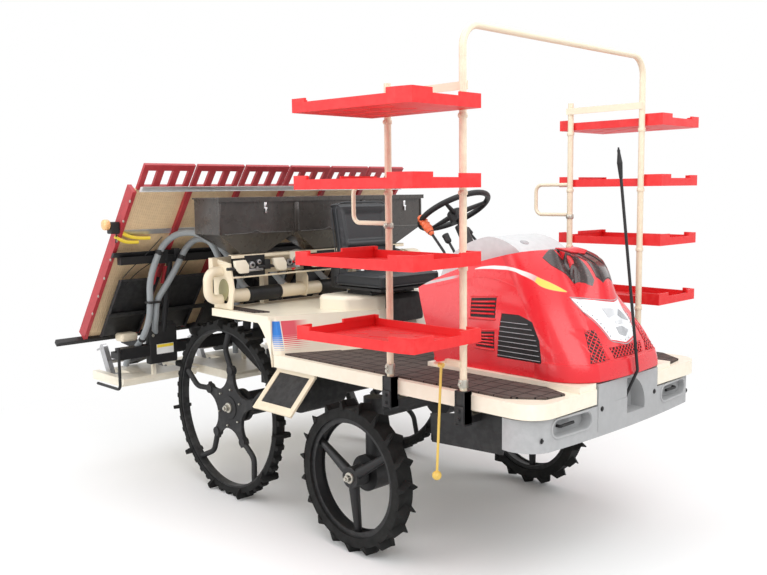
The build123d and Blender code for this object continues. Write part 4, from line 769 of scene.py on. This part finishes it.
# %% Louvre blades
BLADES = ((872, 736), (891, 730), (910, 724), (929, 715), (948, 707), (967, 694), (986, 678), (1005, 655))
blades, highlight_lips = [], []
for z, front in BLADES:
    rear_y, front_y = (on_side("hood_grilles", x, z).y for x in (520, front - 8))
    outline = (516, rear_y - 5), (front - 5, front_y - 5), (front - 5, front_y + 3), (516, rear_y + 3)
    blades.append(plate(outline, "Z", z, 3.2, 0.8))
    # a pale grey rod along each blade's front edge, standing in for a painted highlight
    highlight_lips.append(rod((518, rear_y - 5, z + 2.6), (front - 6, front_y - 5, z + 2.6), 1.5, 8, 0.3))
dress_both(joined(highlight_lips), "hood_louvre_lips_*", "hood", lamp_grey)
dress_both(joined(blades), "hood_louvre_blades_*", "hood", black_plastic)

# %% Skin beside the lamp
FRONT, BACKWARD = 1200, (-1, 0, 0)


def skin_x(y, z, proud):
    """A station on the hood's front, on whichever solid stands proudest there."""
    hits, inward = [], 0
    while not hits and inward < 60:
        for node in ("hood_shell", "hood_grilles"):
            start = at(FRONT, math.copysign(abs(y) - inward, y), z + inward)
            met, place, _, _ = nodes[node].ray_cast(start, Vector(BACKWARD))
            if met:
                hits.append(place.x * 1000 - AXLE_SHIFT)
        inward += 3
    return Vector((max(hits) + proud, y, z))


def front_patch(outline, proud, thick):
    """A thin skin with an outline in front view that follows the hood's front."""
    piece = gridded(outline, "X", 1000, 10)
    for corner in piece.data.vertices:
        corner.co = at(*skin_x(corner.co.y * 1000, corner.co.z * 1000, proud))
    return modified(outward(piece), "SOLIDIFY", thickness=thick / 1000, offset=0)


cover = front_patch(((-256, 1003), (-186, 999), (-133, 881), (-214, 881)), -0.4, 1.4)
dress_both(cover, "hood_corner_skin_*", "hood", hood_paint, 60)

# %% Red lattices beside the lamp
CORNER = ((-190, 990), (-147, 990), (-153, 879), (-238, 876))
NOSE = ((-117, 921), (117, 921), (105, 881), (-105, 881))


def lattice_lines(outline, turn, pitch):
    """Parallel lines across a four-sided outline, each cut off at its edges."""
    step = Vector((math.cos(turn), math.sin(turn)))
    across = Vector((-step.y, step.x))
    corners = [Vector(corner) for corner in outline]
    reach = [corner.dot(across) for corner in corners]
    offset = min(reach) + pitch / 2
    while offset < max(reach):
        cuts = []
        for a, b in zip(corners, corners[1:] + corners[:1]):
            da, db = a.dot(across) - offset, b.dot(across) - offset
            if da * db < 0:
                cuts.append(a.lerp(b, da / (da - db)))
        if len(cuts) == 2 and (cuts[0] - cuts[1]).length > 8:
            yield cuts
        offset += pitch


def lattice(outline):
    """Bars that cross in both directions over an outline and follow the hood's skin."""
    wires = []
    for turn in (40, 140):
        for a, b in lattice_lines(outline, math.radians(turn), 14):
            rear, middle, front = (skin_x(*between(a, b, share), 1.6) for share in (0.02, 0.5, 0.98))
            wires += [rod(rear, middle, 2.3, 6, 0.3), rod(middle, front, 2.3, 6, 0.3)]
    return joined(wires)


dress_both(front_patch(CORNER, 0.5, 1.0), "hood_corner_mesh_*", "hood", black_plastic, 60)
corner_wires = lattice(CORNER)
dress(mirrored(corner_wires), "hood_corner_lattice_left", "hood", hood_paint)
dress(corner_wires, "hood_corner_lattice", "hood", hood_paint)
dress(lattice(NOSE), "hood_nose_lattice", "hood", hood_paint)

# %% Crease along the hood's shoulder
CREASE = ((160, -282, 1125), (234, -269, 1146), (300, -256, 1163), (368, -245, 1176), (454, -241, 1171),
          (538, -244, 1150), (609, -253, 1125), (675, -258, 1087), (727, -258, 1050), (775, -260, 1007),
          (815, -266, 961), (847, -272, 916), (866, -278, 876))
crease = tube([(x - 0.6, y + 1.6, z - 0.8) for x, y, z in CREASE], 3.4)
dress_both(crease, "hood_crease_*", "hood", hood_paint, 60)

# %% [markdown]
# ## Headlamp
# The headlamp is one bright panel under the hood's peak. Inside it there are grey facets that
# throw the light, a row of small studs down each side and a thin dark line where lamp and hood
# meet. The facets' pale and dark greys are painted reflection, standing in for what the mirror
# facets reflect. Facets are cut as flat outlines, divided so that they can bend, and pressed onto
# the lamp with a Shrinkwrap modifier, much as a sticker would be.

# %% Pressing a shape onto a solid
def laid_on(outline, facing, start, node, proud, thick, step=14):
    """A thin shape cut to an outline, bent onto a solid and given its thickness."""
    piece = gridded(outline, facing, start, step)
    modified(piece, "SHRINKWRAP", target=nodes[node], wrap_method="PROJECT", offset=proud / 1000,
             use_negative_direction=True, use_positive_direction=True, **{f"use_project_{facing.lower()}": True})
    return modified(outward(piece), "SOLIDIFY", thickness=thick / 1000, offset=0)


# %% Lamp facets, studs and edge line
PALE_REFLECTION_FACETS = (((-72, 1067), (-14, 1061), (-14, 1036), (-58, 1030)),
               ((-30, 1016), (24, 1014), (16, 1002), (-26, 1002)))
DARK_REFLECTION_FACETS = (((20, 1056), (60, 1030), (84, 1004), (30, 1018), (2, 1034)),
               ((-34, 992), (6, 992), (46, 972), (10, 953), (-28, 964)))
# pale and dark facet greys: painted reflection of the lamp's mirror facets, not their own colour
for label, outlines, tone in (("pale", PALE_REFLECTION_FACETS, lamp_reflection_silver), ("dark", DARK_REFLECTION_FACETS, lamp_grey)):
    facets = joined([laid_on(outline, "X", 1000, "hood_lamp", 1.2, 1.0) for outline in outlines])
    dress(facets, f"lamp_reflection_facets_{label}", "hood", tone)

stud_places = [between((hand * 136, 1090), (hand * 84, 962), i / 8) for hand in (-1, 1) for i in range(9)]
studs = []
for y, z in stud_places + [(-30, 944), (0, 940), (30, 944)]:
    foot = touch("hood_lamp", (FRONT, y, z), BACKWARD)
    studs.append(rod(foot - Vector((1, 0, 0)), foot + Vector((2, 0, 0)), 3.0, 8, 0.6))
dress(joined(studs), "lamp_studs", "hood", lamp_grey)

LAMP_EDGE = ((-164, 1112), (0, 1091), (164, 1112), (95, 944), (0, 923), (-95, 944))
edge_line = []
for a, b in zip(LAMP_EDGE, LAMP_EDGE[1:] + LAMP_EDGE[:1]):
    for i in range(6):
        y, z = between(a, b, (i + 0.25) / 6)
        edge_line.append(touch("hood_shell", (FRONT, y, z), BACKWARD) + Vector((0.4, 0, 0)))
dress(tube(edge_line, 1.8, 2, True, 2), "lamp_edge_line", "hood", lamp_grey)

# %% [markdown]
# ## Air scoop
# A dark scoop sits on top of the hood, with a fine mesh in it and a red blade over its rear
# end. The mesh is part of the finish. The blade, two ribs over the scoop and a dark flank down
# each side are thin shapes that follow the solids below them.

# %% Dark flanks of the scoop
FLANK = ((612, -148), (650, -141), (674, -127), (700, -107), (730, -96), (760, -90), (785, -81), (800, -72),
         (800, -61), (760, -66), (700, -74), (640, -81), (610, -85))
flank = laid_on(FLANK, "Z", 1400, "hood_shell", 1.0, 1.6, 7)
dress_both(flank, "scoop_flank_*", "hood", scoop_smoke, 60)

# %% Scoop frame and blade
BLADE = ((612, -60), (690, -58), (716, 0), (690, 58), (612, 60), (640, 0))
blade = laid_on(BLADE, "Z", 1400, "hood_scoop", 3.5, 6, 16)
dress(rounded(blade, 1.5, 2, 50), "scoop_blade", "hood", hood_paint)
spine = []
for y in (-30, 30):
    feet = [touch("hood_scoop", (x, y * (1.25 - x / 2400), 1500), (0, 0, -1)) for x in (700, 730, 760, 785, 800)]
    spine.append(tube([foot + Vector((0, 0, 1)) for foot in feet], 2.4))
dress(joined(spine), "scoop_ribs", "hood", black_plastic)

# %% [markdown]
# ## Seat
# The seat is a foam cushion and a shaped back in black vinyl, with piping along its seams. Each
# pad starts as a block that is a little smaller than the real one. It is remeshed finely and
# swollen with cloth pressure, with the movement capped, so that its faces crown and its sides
# pull in at the corners. The piping follows afterwards, because the remesh would erase it.

# %% Swelling a pad
def stuffed(piece, cap, voxel=0.006):
    """Remesh a closed form and let cloth pressure swell it, never further than a cap in metres."""
    modified(piece, "REMESH", mode="VOXEL", voxel_size=voxel)
    before = [corner.co.copy() for corner in piece.data.vertices]
    only(piece)
    cover = piece.modifiers.new("cover", "CLOTH")
    cover.settings.use_pressure = True
    cover.settings.uniform_pressure_force = 4
    cover.settings.effector_weights.gravity = 0
    cover.settings.quality = 4
    for step in range(1, 21):
        bpy.context.scene.frame_set(step)
    bpy.ops.object.modifier_apply(modifier=cover.name)
    bpy.context.scene.frame_set(1)
    for corner, place in zip(piece.data.vertices, before):
        shift = corner.co - place
        if shift.length > cap:
            corner.co = place + shift * (cap / shift.length)
    return modified(piece, "SUBSURF", levels=1, render_levels=1)


def bevel_where(piece, test, width, steps):
    """Bevel the edges whose two ends pass a test."""
    edit(piece, "DESELECT", "EDGE")
    done(piece)
    for line in piece.data.edges:
        line.select = test(*(piece.data.vertices[i].co for i in line.vertices))
    bpy.ops.object.mode_set(mode="EDIT")
    bpy.ops.mesh.bevel(offset=width / 1000, segments=steps, affect="EDGES")
    return done(piece)


def loop(x, y, corner):
    """Stations round a rectangle with round corners, for piping."""
    places = []
    for front, left, start in ((1, 1, 0), (0, 1, 90), (0, 0, 180), (1, 0, 270)):
        cx = x[1] - corner if front else x[0] + corner
        cy = y[1] - corner if left else y[0] + corner
        for turn in (0, 22.5, 45, 67.5, 90):
            angle = math.radians(start + turn)
            places.append((cx + corner * math.cos(angle), cy + corner * math.sin(angle)))
    return places


# %% Seat cushion
cushion = block((-592, -258), (-207, 207), (1076, 1128), 2, 1)
bevel_where(cushion, lambda a, b: abs(a.z - b.z) > 0.04, 50, 6)
stuffed(rounded(cushion, 12, 3, 60), 0.008)
dress(cushion, "seat_cushion_pad", "chassis", seat_vinyl, 60)
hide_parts("seat_cushion")
seam = loop((-597, -253), (-212, 212), 52)
piping = joined([tube([(x, y, z) for x, y in seam], 3.4, 3, True, 2) for z in (1126, 1082)])
dress(piping, "seat_cushion_piping", "chassis", seat_vinyl)

# %% Seat back
# The back is shaped upright about the world's origin, then leant back and moved to its place.
BACK_LEAN, BACK_X, BACK_Z = math.radians(-9.06), -600, 1314
back = block((-20, 20), (-182, 182), (-166, 166), 2, 1)
bevel_where(back, lambda a, b: abs(a.x - b.x) > 0.03 and a.z > 0, 55, 6)
edit(back, "DESELECT", "FACE")
done(back)
for face in back.data.polygons:
    face.select = face.normal.x > 0.9 and face.area > 0.05
bpy.ops.object.mode_set(mode="EDIT")
bpy.ops.mesh.inset(thickness=0.042, depth=0)
bpy.ops.mesh.inset(thickness=0.012, depth=-0.010)
rounded(done(back), 8, 2, 60)
for corner in back.data.vertices:
    corner.co -= at(0, 0, 0)
bpy.ops.object.select_all(action="DESELECT")
bpy.ops.mesh.primitive_cylinder_add(vertices=24, radius=0.017, depth=0.27, location=(0.012, 0, -0.045),
                                    rotation=(math.radians(90), 0, 0))
back = joined([back, rounded(settled(bpy.context.object), 6, 2, 50)])
back.rotation_euler = (0, BACK_LEAN, 0)
back.location = at(BACK_X, 0, BACK_Z)
stuffed(settled(back), 0.007)
dress(back, "seat_back_pad", "chassis", seat_vinyl, 60)
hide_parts("seat_back")


def on_back(y, up, out):
    """A station on the leaning seat back: across, up from its middle and out from its face."""
    lean = -BACK_LEAN
    return (BACK_X + out * math.cos(lean) - up * math.sin(lean), y,
            BACK_Z + up * math.cos(lean) + out * math.sin(lean))


outer = [(u, v) for v, u in loop((-166, 168), (-184, 184), 58)]
piping = joined([tube([on_back(y, up, out) for y, up in outer], 3.2, 3, True, 2) for out in (17, -17)])
dress(piping, "seat_back_piping", "chassis", seat_vinyl)
stays = []
for hand in (-1, 1):
    bolts = [(-590, hand * 201, z) for z in (1086, 1112)]
    stays += [block((-628, -566), (hand * 196 - 4, hand * 196 + 4), (1062, 1178), 2),
              bolt_heads(bolts, (0, hand, 0), 12)]
dress(joined(stays), "seat_back_stays", "chassis", black_paint)

# %% [markdown]
# ## Driver's place
# Levers with moulded grips stand right of the steering column: an orange one on a bent stem and
# a black one. The steering wheel gets its hub cap and a cover on each of its three spokes, and
# the dash a plain grey oval.

# %% Lever grips
GRIP_Y, KNOB_Y = -148, -92
top_end, neck, low_end = (-62, GRIP_Y, 1418), (-6, GRIP_Y, 1359), (16, GRIP_Y, 1336)
ridge_from, ridge_to = (-52, GRIP_Y, 1407.5), (-14, GRIP_Y, 1367.5)
ridges = []
for i in range(4):
    x, y, z = between(ridge_from, ridge_to, i / 3)
    ridges.append(rod((x, y, z), (x + 2, y, z - 2.1), 21, 20, 0.6))
grip = joined([rod(top_end, neck, 16, 20, 5, 20), rod(neck, low_end, 20, 20, 3, 9)] + ridges)
dress(grip, "lever_grip_orange", "chassis", knob_orange, 50)
boots = [rod((106, GRIP_Y, 1182), (103, GRIP_Y, 1206), 17, 20, 3, 9),
         rod((118, KNOB_Y, 1192), (116, KNOB_Y, 1212), 16, 20, 3, 9),
         rod((66, KNOB_Y, 1300), (40, KNOB_Y, 1336), 12, 20, 4, 17)]
dress(joined(boots), "lever_boots_and_grip", "chassis", black_plastic, 50)

# %% Steering wheel cap and grip
tilt = math.radians(30)
hub_axis = Vector((-math.sin(tilt), 0, math.cos(tilt)))
hub = Vector((15, 0, 1440))
wheel_cap = [rod(hub - hub_axis * 8, hub + hub_axis * 2, 40, 28, 5, 30)]
for turn in (180, 300, 60):
    a = math.radians(turn)
    out = Vector((math.cos(a) * math.cos(tilt), math.sin(a), math.cos(a) * math.sin(tilt)))
    wheel_cap.append(rod(hub + out * 24 - hub_axis * 14, hub + out * 150 - hub_axis * 3, 12, 14, 3, 8))
dress(joined(wheel_cap), "steering_wheel_cap", "steering_wheel_body", black_plastic, 50)

# %% Dash oval
oval = [(460 + 15 * math.cos(i * math.pi / 12), -62 + 24 * math.sin(i * math.pi / 12)) for i in range(24)]
dress(laid_on(oval, "Z", 1400, "dash_cowl", 1.0, 2.0, 12), "dash_blank_oval", "chassis", lamp_grey)

# %% [markdown]
# ## Posts and trays
# The seedling trays hang on round posts. Collars and small bolts hold each tray, the rear post
# carries a bolted ring for its grab loop, and both posts stand in black brackets with two
# bolts each. All of these are made once, for the right-hand side, and mirrored.

# %% Collars, rings and post brackets
REAR_POST, FRONT_POST, POST_Y = 223, 606, -634
TRAY_HEIGHTS = (992, 1268, 1544, 1820)


def ring(x, low, high, radius, edge=2):
    """A sleeve round one of the right-hand posts."""
    return rod((x, POST_Y, low), (x, POST_Y, high), radius, 20, edge)


OUTWARD = (0, -1, 0)
pairs = [(x, z) for z in TRAY_HEIGHTS for x in (REAR_POST, FRONT_POST)]
collars = [ring(x, z - 26, z - 10, 17.5) for x, z in pairs]
collars.append(bolt_heads([(x, POST_Y - 17, z - 18) for x, z in pairs], OUTWARD, 10, 4))
dress_both(joined(collars), "tray_collars_*", "chassis", cream_paint)

rings = [ring(REAR_POST, 806, 846, 18.5), ring(FRONT_POST, 806, 838, 18.5), ring(REAR_POST, 1388, 1410, 19, 3)]
ring_bolts = ((REAR_POST, 818), (REAR_POST, 836), (FRONT_POST, 820), (REAR_POST, 1399))
rings.append(bolt_heads([(x, POST_Y - 18, z) for x, z in ring_bolts], OUTWARD, 12, 6))
dress_both(joined(rings), "post_rings_*", "chassis", zinc)

brackets = []
for x in (REAR_POST, FRONT_POST):
    brackets += [block((x - 24, x - 17), (-658, -612), (664, 796)),
                 block((x + 17, x + 24), (-658, -612), (664, 796)),
                 block((x - 22, x + 22), (-662, -655), (672, 740)),
                 bolt_heads([(x, -662, 690), (x, -662, 722)], OUTWARD)]
dress_both(joined(brackets), "post_brackets_*", "chassis", black_paint)

# %% [markdown]
# ## Wheel hubs
# Each wheel is held by a washer and a nut on its axle, whose end stands out of them. The rear
# wheels' star plates carry a ring of six rivets.

# %% Rear hub nuts and rivets
def turned(x, z, ends, radii):
    """Three turned discs on one axle: a washer, a six-sided nut and the axle's end."""
    return joined([rod((x, a, z), (x, b, z), radius, sides, 2)
                   for a, b, radius, sides in zip(ends, ends[1:], radii, (28, 6, 16))])


face_y = touch("rear_spider_right", (REAR_X + 30, -900, REAR_Z), INWARD).y
rivets = []
for a in range(20, 380, 60):
    x, z = REAR_X + 96 * math.cos(math.radians(a)), REAR_Z + 96 * math.sin(math.radians(a))
    rivets.append(rod((x, face_y + 6, z), (x, face_y - 6, z), 5, 10, 1.5))
rear_ends = (face_y + 2, face_y - 9, face_y - 27, face_y - 36)
rear_hub = joined(rivets + [turned(REAR_X, REAR_Z, rear_ends, (26, 17, 9))])
dress_both(rear_hub, "rear_hub_*", "rear_wheel_*", zinc)

# %% Front hub nuts
face_y = touch("front_rim_right", (14, -900, FRONT_Z), INWARD).y
front_hub = turned(0, FRONT_Z, (face_y + 3, face_y - 8, face_y - 24, face_y - 33), (24, 15, 8))
dress_both(front_hub, "front_hub_*", "front_wheel_*", zinc)

# %% [markdown]
# ## Bumper
# The bumper has an oval recess on each side with a rounded border, and the black marker rod
# swings out of a three-cornered recess in its middle on a bright bolt.

# %% Recess borders and pivot bolt
RECESS_Z, RECESS_HALF, RECESS_ROUND, FORWARD = 674, 119, 36, (1, 0, 0)


def bumper_face(y, z, out=0.0):
    """A station on the bumper's front, a little out from it."""
    return touch("front_bumper", (FRONT, y, z), BACKWARD) + Vector((out, 0, 0))


borders = []
for centre_y in (-383, 383):
    ring_places = []
    for hand, start in ((1, -90), (-1, 90)):
        for i in range(11):
            a = math.radians(start + 18 * i)
            y = centre_y + hand * (RECESS_HALF - RECESS_ROUND) + RECESS_ROUND * math.cos(a)
            ring_places.append(bumper_face(y, RECESS_Z + RECESS_ROUND * math.sin(a), 0.5))
    borders.append(tube(ring_places, 4.5, 3, True))
dress(joined(borders), "bumper_recess_borders", "chassis", bumper_plastic)
dress(bolt_heads([(879, 0, 668)], FORWARD, 22, 9), "marker_pivot_bolt", "chassis", zinc)
plugs = [bumper_face(y, z) for y, z in ((-200, 700), (200, 700), (-545, 640), (545, 640))]
dress(bolt_heads(plugs, FORWARD, 12, 3), "bumper_bolts", "chassis", black_paint)

# %% [markdown]
# ## Seedling table
# The table leans towards the driver. Pale aluminium strips cross its beige board, and a black
# rail runs in front of it. One helper turns a height and a distance off the board into a
# station, so everything that lies on the slope shares the same plane. Below the rail hangs a
# plain black cover for each of the six rows.

# %% The board's slope
BOARD_RISE, BOARD_RUN, BOARD_REACH = 0.606, 0.795, -1951


def on_board(y, z, off):
    """A station on the leaning board, off its face by some millimetres."""
    return ((BOARD_REACH + off + BOARD_RISE * z) / BOARD_RUN, y, z)


def across_board(y, z, off):
    """A bar that runs along the board between two heights and two distances from its face."""
    (low, high), (near, far) = z, off
    corners = [on_board(0, *corner) for corner in ((low, near), (high, near), (high, far), (low, far))]
    return plate([(x, z) for x, _, z in corners], "Y", y[0], y[1] - y[0], 1.2)


rails = joined([across_board(*bar) for bar in (((-892, 892), (1328, 1354), (-1, 3)),
                                               ((-906, 906), (1544, 1570), (34, 52)),
                                               ((-906, 906), (1544, 1548), (52, 58)))])
dress(rails, "table_strips", "seedling_table", aluminium)
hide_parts("table_rails")
rail = across_board((-935, 935), (1212, 1237), (26, 44))
dress(rail, "board_front_rail", "planting_unit", black_paint)

# %% Row covers
ROW_PITCH = 302
covers = []
for row in range(6):
    y = (row - 2.5) * ROW_PITCH
    covers.append(across_board((y - 110, y + 110), (762, 1086), (62, 70)))
    for low in (y - 112, y + 106):
        covers.append(across_board((low, low + 6), (762, 1090), (60, 84)))
    covers.append(across_board((y - 100, y + 100), (1078, 1090), (60, 82)))
covers = joined(covers + [across_board((-870, 870), (874, 898), (70, 84))])
dress(covers, "row_covers", "planting_unit", black_plastic)
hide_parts("unit_covers")

# %% [markdown]
# ## Hoses, tubes and clamps
# Three grey hoses on each side bend from the duct over the rail and down to the rows, and black
# ties hold them. Two yellow bent tubes keep the mats from sliding off at each end of the table.
# The rail is clamped to the two posts that hold the planting unit. A black box covers the drive
# behind each rear wheel, and a small amber lamp stands at the table's right end.

# %% Fertiliser hoses and their ties
OUTER_HOSE = ((-1062, -500, 1036), (-1100, -500, 1046), (-1128, -508, 1140), (-1150, -528, 1250),
              (-1200, -558, 1316), (-1280, -584, 1335), (-1350, -625, 1329), (-1400, -662, 1290),
              (-1425, -694, 1237), (-1432, -732, 1149), (-1440, -752, 1066), (-1450, -745, 969),
              (-1490, -732, 868), (-1560, -736, 764), (-1640, -749, 685), (-1690, -765, 640), (-1700, -768, 600))
MIDDLE_HOSE = ((-1062, -400, 1036), (-1110, -400, 1052), (-1150, -412, 1150), (-1220, -450, 1260),
               (-1330, -512, 1306), (-1400, -538, 1261), (-1425, -563, 1202), (-1435, -600, 1129),
               (-1440, -648, 1057), (-1448, -710, 977), (-1480, -700, 877), (-1530, -680, 825), (-1578, -650, 780))
INNER_HOSE = [(x, -ROW_PITCH / 2, z) for x, z in (
    (-1062, 1036), (-1120, 1060), (-1240, 1170), (-1360, 1200), (-1450, 1110), (-1500, 970), (-1538, 820),
    (-1544, 700), (-1544, 605))]
right_hoses = joined([tube(run, 17, 3, False, 4) for run in (OUTER_HOSE, MIDDLE_HOSE, INNER_HOSE)])
hoses = joined([mirrored(right_hoses), right_hoses])
dress(hoses, "fertiliser_hoses_bent", "planting_unit", hose_rubber, 60)
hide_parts("fertiliser_hoses")
ties = joined([block((-1474, -1424), (-768, -690), (962, 974), 5),
               rod((-1425, -694, 1244), (-1427, -697, 1216), 21, 20, 2),
               rod((-1425, -561, 1210), (-1427, -567, 1186), 21, 20, 2),
               rod((-1562, -736, 762), (-1572, -737, 750), 20, 20, 2)])
dress_both(ties, "hose_ties_*", "planting_unit", black_plastic)

# %% Box over the drive and thin cables
box = joined([block((-1604, -1558), (-700, -527), (612, 822), 9, 3),
              block((-1608, -1566), (-690, -537), (800, 836), 12, 3)])
dress_both(box, "drive_box_*", "planting_unit", black_plastic, 50)
CABLES = (((-690, 1312, 44), (-725, 1262, 50), (-770, 1205, 58), (-812, 1150, 52), (-850, 1096, 60)),
          ((-700, 1180, 60), (-756, 1140, 54), (-800, 1090, 60), (-842, 1060, 86)),
          ((-474, 1204, 56), (-500, 1140, 60), (-528, 1086, 78), (-544, 1040, 86)))
cables = joined([tube([on_board(*place) for place in run], 2.4) for run in CABLES])
dress(cables, "board_cables", "planting_unit", black_plastic)

# %% Yellow side tubes
UPPER = ((-1418, -928, 1352), (-1424, -900, 1338), (-1430, -867, 1322), (-1434, -811, 1308),
         (-1436, -742, 1307))
LOWER = ((-1430, -939, 1322), (-1434, -905, 1304), (-1442, -869, 1289), (-1442, -806, 1289))
tubes = joined([tube(UPPER, 9.5), tube(LOWER, 9.5)])
dress_both(tubes, "mat_guide_tubes_*", "seedling_table", tube_yellow)

# %% Work lamp on the table's side
case = block((-1440, -1392), (-978, -930), (1338, 1398), 5, 3)
lens = rod((-1416, -978, 1384), (-1416, -1010, 1384), 27, 24, 8)
stalk = tube([(-1416, -940, 1340), (-1424, -936, 1318), (-1440, -932, 1290)], 3)
dress(joined([case, stalk]), "side_lamp_case", "seedling_table", black_plastic)
dress(lens, "side_lamp_lens", "seedling_table", lamp_amber, 60)

# %% Rail clamps and red brackets
BRACKET = ((-1500, 1150), (-1474, 1150), (-1520, 1052), (-1546, 1052))
clamps, brackets = [], []
for y in (-651, 651):
    clamps += [block((-1496, -1446), (y - 34, y + 22), (1168, 1240), 4),
               block((-1490, -1452), (y + 62, y + 96), (1186, 1244), 4),
               block((-1478, -1446), (y - 60, y - 34), (1196, 1226), 3),
               bolt_heads([(-1446, y - 18, 1222), (-1446, y + 8, 1186)], FORWARD, 14)]
    brackets += [plate(BRACKET, "Y", y + shift, 8) for shift in (-30, 22)]
dress(joined(clamps), "rail_clamps", "planting_unit", black_plastic)
dress(joined(brackets), "rail_brackets", "planting_unit", rack_crimson)

# %% Bolts on the crimson side frame
heads = [bolt_heads([(on_board(0, z, 22)[0], -927, z)], OUTWARD, 9, 3) for z in range(900, 1600, 100)]
dress_both(joined(heads), "side_frame_bolts_*", "seedling_table", zinc)

# %% Plate and bolts on the drive box, caps on the gear cases
def box_label(y, z, level, thick, edge):
    """A thin plate on the drive box, between pairs of stations."""
    return plate([(y[0], z[0]), (y[1], z[0]), (y[1], z[1]), (y[0], z[1])], "X", level, thick, edge)


dress(box_label((-657, -553), (664, 718), -1558.5, 2.2, 0.6), "blank_plate", "planting_unit", plate_white)
dress(box_label((-655, -555), (700, 716), -1557, 1.6, 0.3), "blank_plate_band", "planting_unit", tube_yellow)
dress(bolt_heads([(-1559, -675, 800), (-1559, -675, 770)], FORWARD, 10, 3), "cover_bolts", "planting_unit", zinc)
dress_both(block((-1778, -1690), (-790, -690), (730, 776), 16, 4), "gear_cap_*", "planting_unit", cream_paint)

# %% [markdown]
# ## Fertiliser gear
# Behind the seat, air is blown through a cream duct with black rubber sleeves. Above the duct
# sit the metering gear, its drive rods and a cream shelf, and at the end a cream plate with a
# round hole and an olive oval. The hopper has a bright catch on two of its front panels, dark
# ribs between its bins and a slim handle rail below each bin.

# %% Duct sleeves
DUCT_X, DUCT_Z = -960, 1022


def sleeve(low, high, radius, edge):
    """A rubber ring round the air duct."""
    return rod((DUCT_X, low, DUCT_Z), (DUCT_X, high, DUCT_Z), radius, 32, edge)


sleeves = []
for low, high in ((-480, -273), (-3, 190)):
    sleeves += [sleeve(low, high, 37.5, 2), sleeve(low + 9, low + 15, 39.5, 1.5),
                sleeve(high - 15, high - 9, 39.5, 1.5)]
dress(joined(sleeves), "duct_sleeves", "chassis", black_plastic)
FLANGE = ((-1012, 985), (-928, 985), (-912, 1030), (-912, 1090), (-930, 1118), (-1012, 1118))
dress(plate(FLANGE, "Y", -116, 5), "duct_flange", "chassis", cream_paint)

# %% End plate oval and hole
oval = []
for i in range(28):
    a = i * math.pi / 14
    oval.append((-964 + 42 * math.cos(a) + 3 * math.sin(a), 1057 + 55 * math.sin(a)))
dress(plate(oval, "Y", -615, 3.2, 0.8), "end_plate_oval", "chassis", olive_tint)
dress(rod((-1029, -611, 1145), (-1029, -614, 1145), 12, 20, 0.6), "end_plate_hole", "chassis", black_plastic)
slots = joined([block((-1046, -960), (-615, -611), (z, z + 5), 1) for z in (1196, 1186)])
dress(slots, "end_plate_slots", "chassis", cream_panel)

# %% Shelf, drive rod and metering gear
shelf = joined([block((-906, -896), (-604, 604), (1214, 1232), 1.5),
                block((-930, -896), (-604, 604), (1228, 1232), 1.5),
                rod((-899, -606, 1120), (-899, 606, 1120), 5, 12)])
dress(shelf, "metering_shelf", "chassis", cream_paint)
COVER = ((-38, 1204), (26, 1206), (46, 1178), (44, 1140), (-6, 1140), (-34, 1170))
# rear and front end, place across, height, radius, sides, edge
DIALS = ((-900, -878, 70, 1178, 17, 18, 2), (-900, -882, 116, 1190, 13, 16, 2),
         (-900, -876, 100, 1162, 6, 12, 1))
KNOBS = ((-880, -872, 70, 1178, 7, 12, 1), (-884, -877, 116, 1190, 5, 12, 1))
meter_covers, dials, knobs = [], [], []
for y in (-566, -330, -96, 140, 374):
    meter_covers.append(plate([(y + across, z) for across, z in COVER], "X", -893, 22, 4, 2))
    for bits, table in ((dials, DIALS), (knobs, KNOBS)):
        bits += [rod((rear, y + across, z), (front, y + across, z), radius, sides, edge)
                 for rear, front, across, z, radius, sides, edge in table]
    dials.append(block((-905, -884), (y + 52, y + 140), (1146, 1158)))
    knobs.append(block((-902, -882), (y + 150, y + 186), (1150, 1200), 3))
dress(joined(meter_covers), "metering_covers", "chassis", cream_panel)
dress(joined(dials), "metering_dials", "chassis", steel)
dress(joined(knobs), "metering_knobs", "chassis", black_plastic)
CREAM_TAG = ((-248, 1232), (-205, 1232), (-205, 1196), (-216, 1184), (-237, 1184), (-248, 1196))
RED_TAG = ((-238, 1182), (-222, 1182), (-212, 1142), (-232, 1132), (-244, 1150))
dress(plate(CREAM_TAG, "X", -896, 5), "feed_tag_cream", "chassis", cream_panel)
dress(plate(RED_TAG, "X", -894, 6, 2), "feed_tag_red", "chassis", tray_plastic)

# %% Hopper catches, ribs and handle rails
catches = []
for y, z in ((-431, 1463), (561, 1454)):
    catches += [block((-851, -846), (y - 8, y + 8), (z - 8, z + 26), 1.5),
                block((-848, -840), (y - 5, y + 5), (z - 30, z - 2), 1.5),
                rod((-843, y - 11, z - 4), (-843, y + 11, z - 4), 2.2, 10, 0.5)]
dress(joined(catches), "hopper_catches", "chassis", chrome)
PANEL_LOW, PANEL_HIGH, RAIL_Z = 1338, 1488, 1336
ribs = [block((-852, -842), (y - 14, y + 14), (PANEL_LOW, PANEL_HIGH), 3) for y in (-235, 235)]
ribs += [block((-852, -845), (y - 6, y + 6), (PANEL_LOW, PANEL_HIGH)) for y in (-700, 698)]
HUMP = ((-26, 0), (-12, 10), (0, 14), (12, 10), (26, 0))
for low, high in ((-679, -262), (-208, 208), (262, 679)):
    middle = (low + high) / 2 - 20
    run = [(low, RAIL_Z)] + [(middle + across, RAIL_Z + up) for across, up in HUMP] + [(high, RAIL_Z)]
    ribs.append(tube([(-848, y, z) for y, z in run], 3.2))
dress(joined(ribs), "hopper_ribs", "chassis", hopper_smoke)

# %% [markdown]
# ## Counting up
# The last lines print how many pieces were added and how many triangles they have.

print(len(added), "pieces,", sum(added.values()), "triangles")
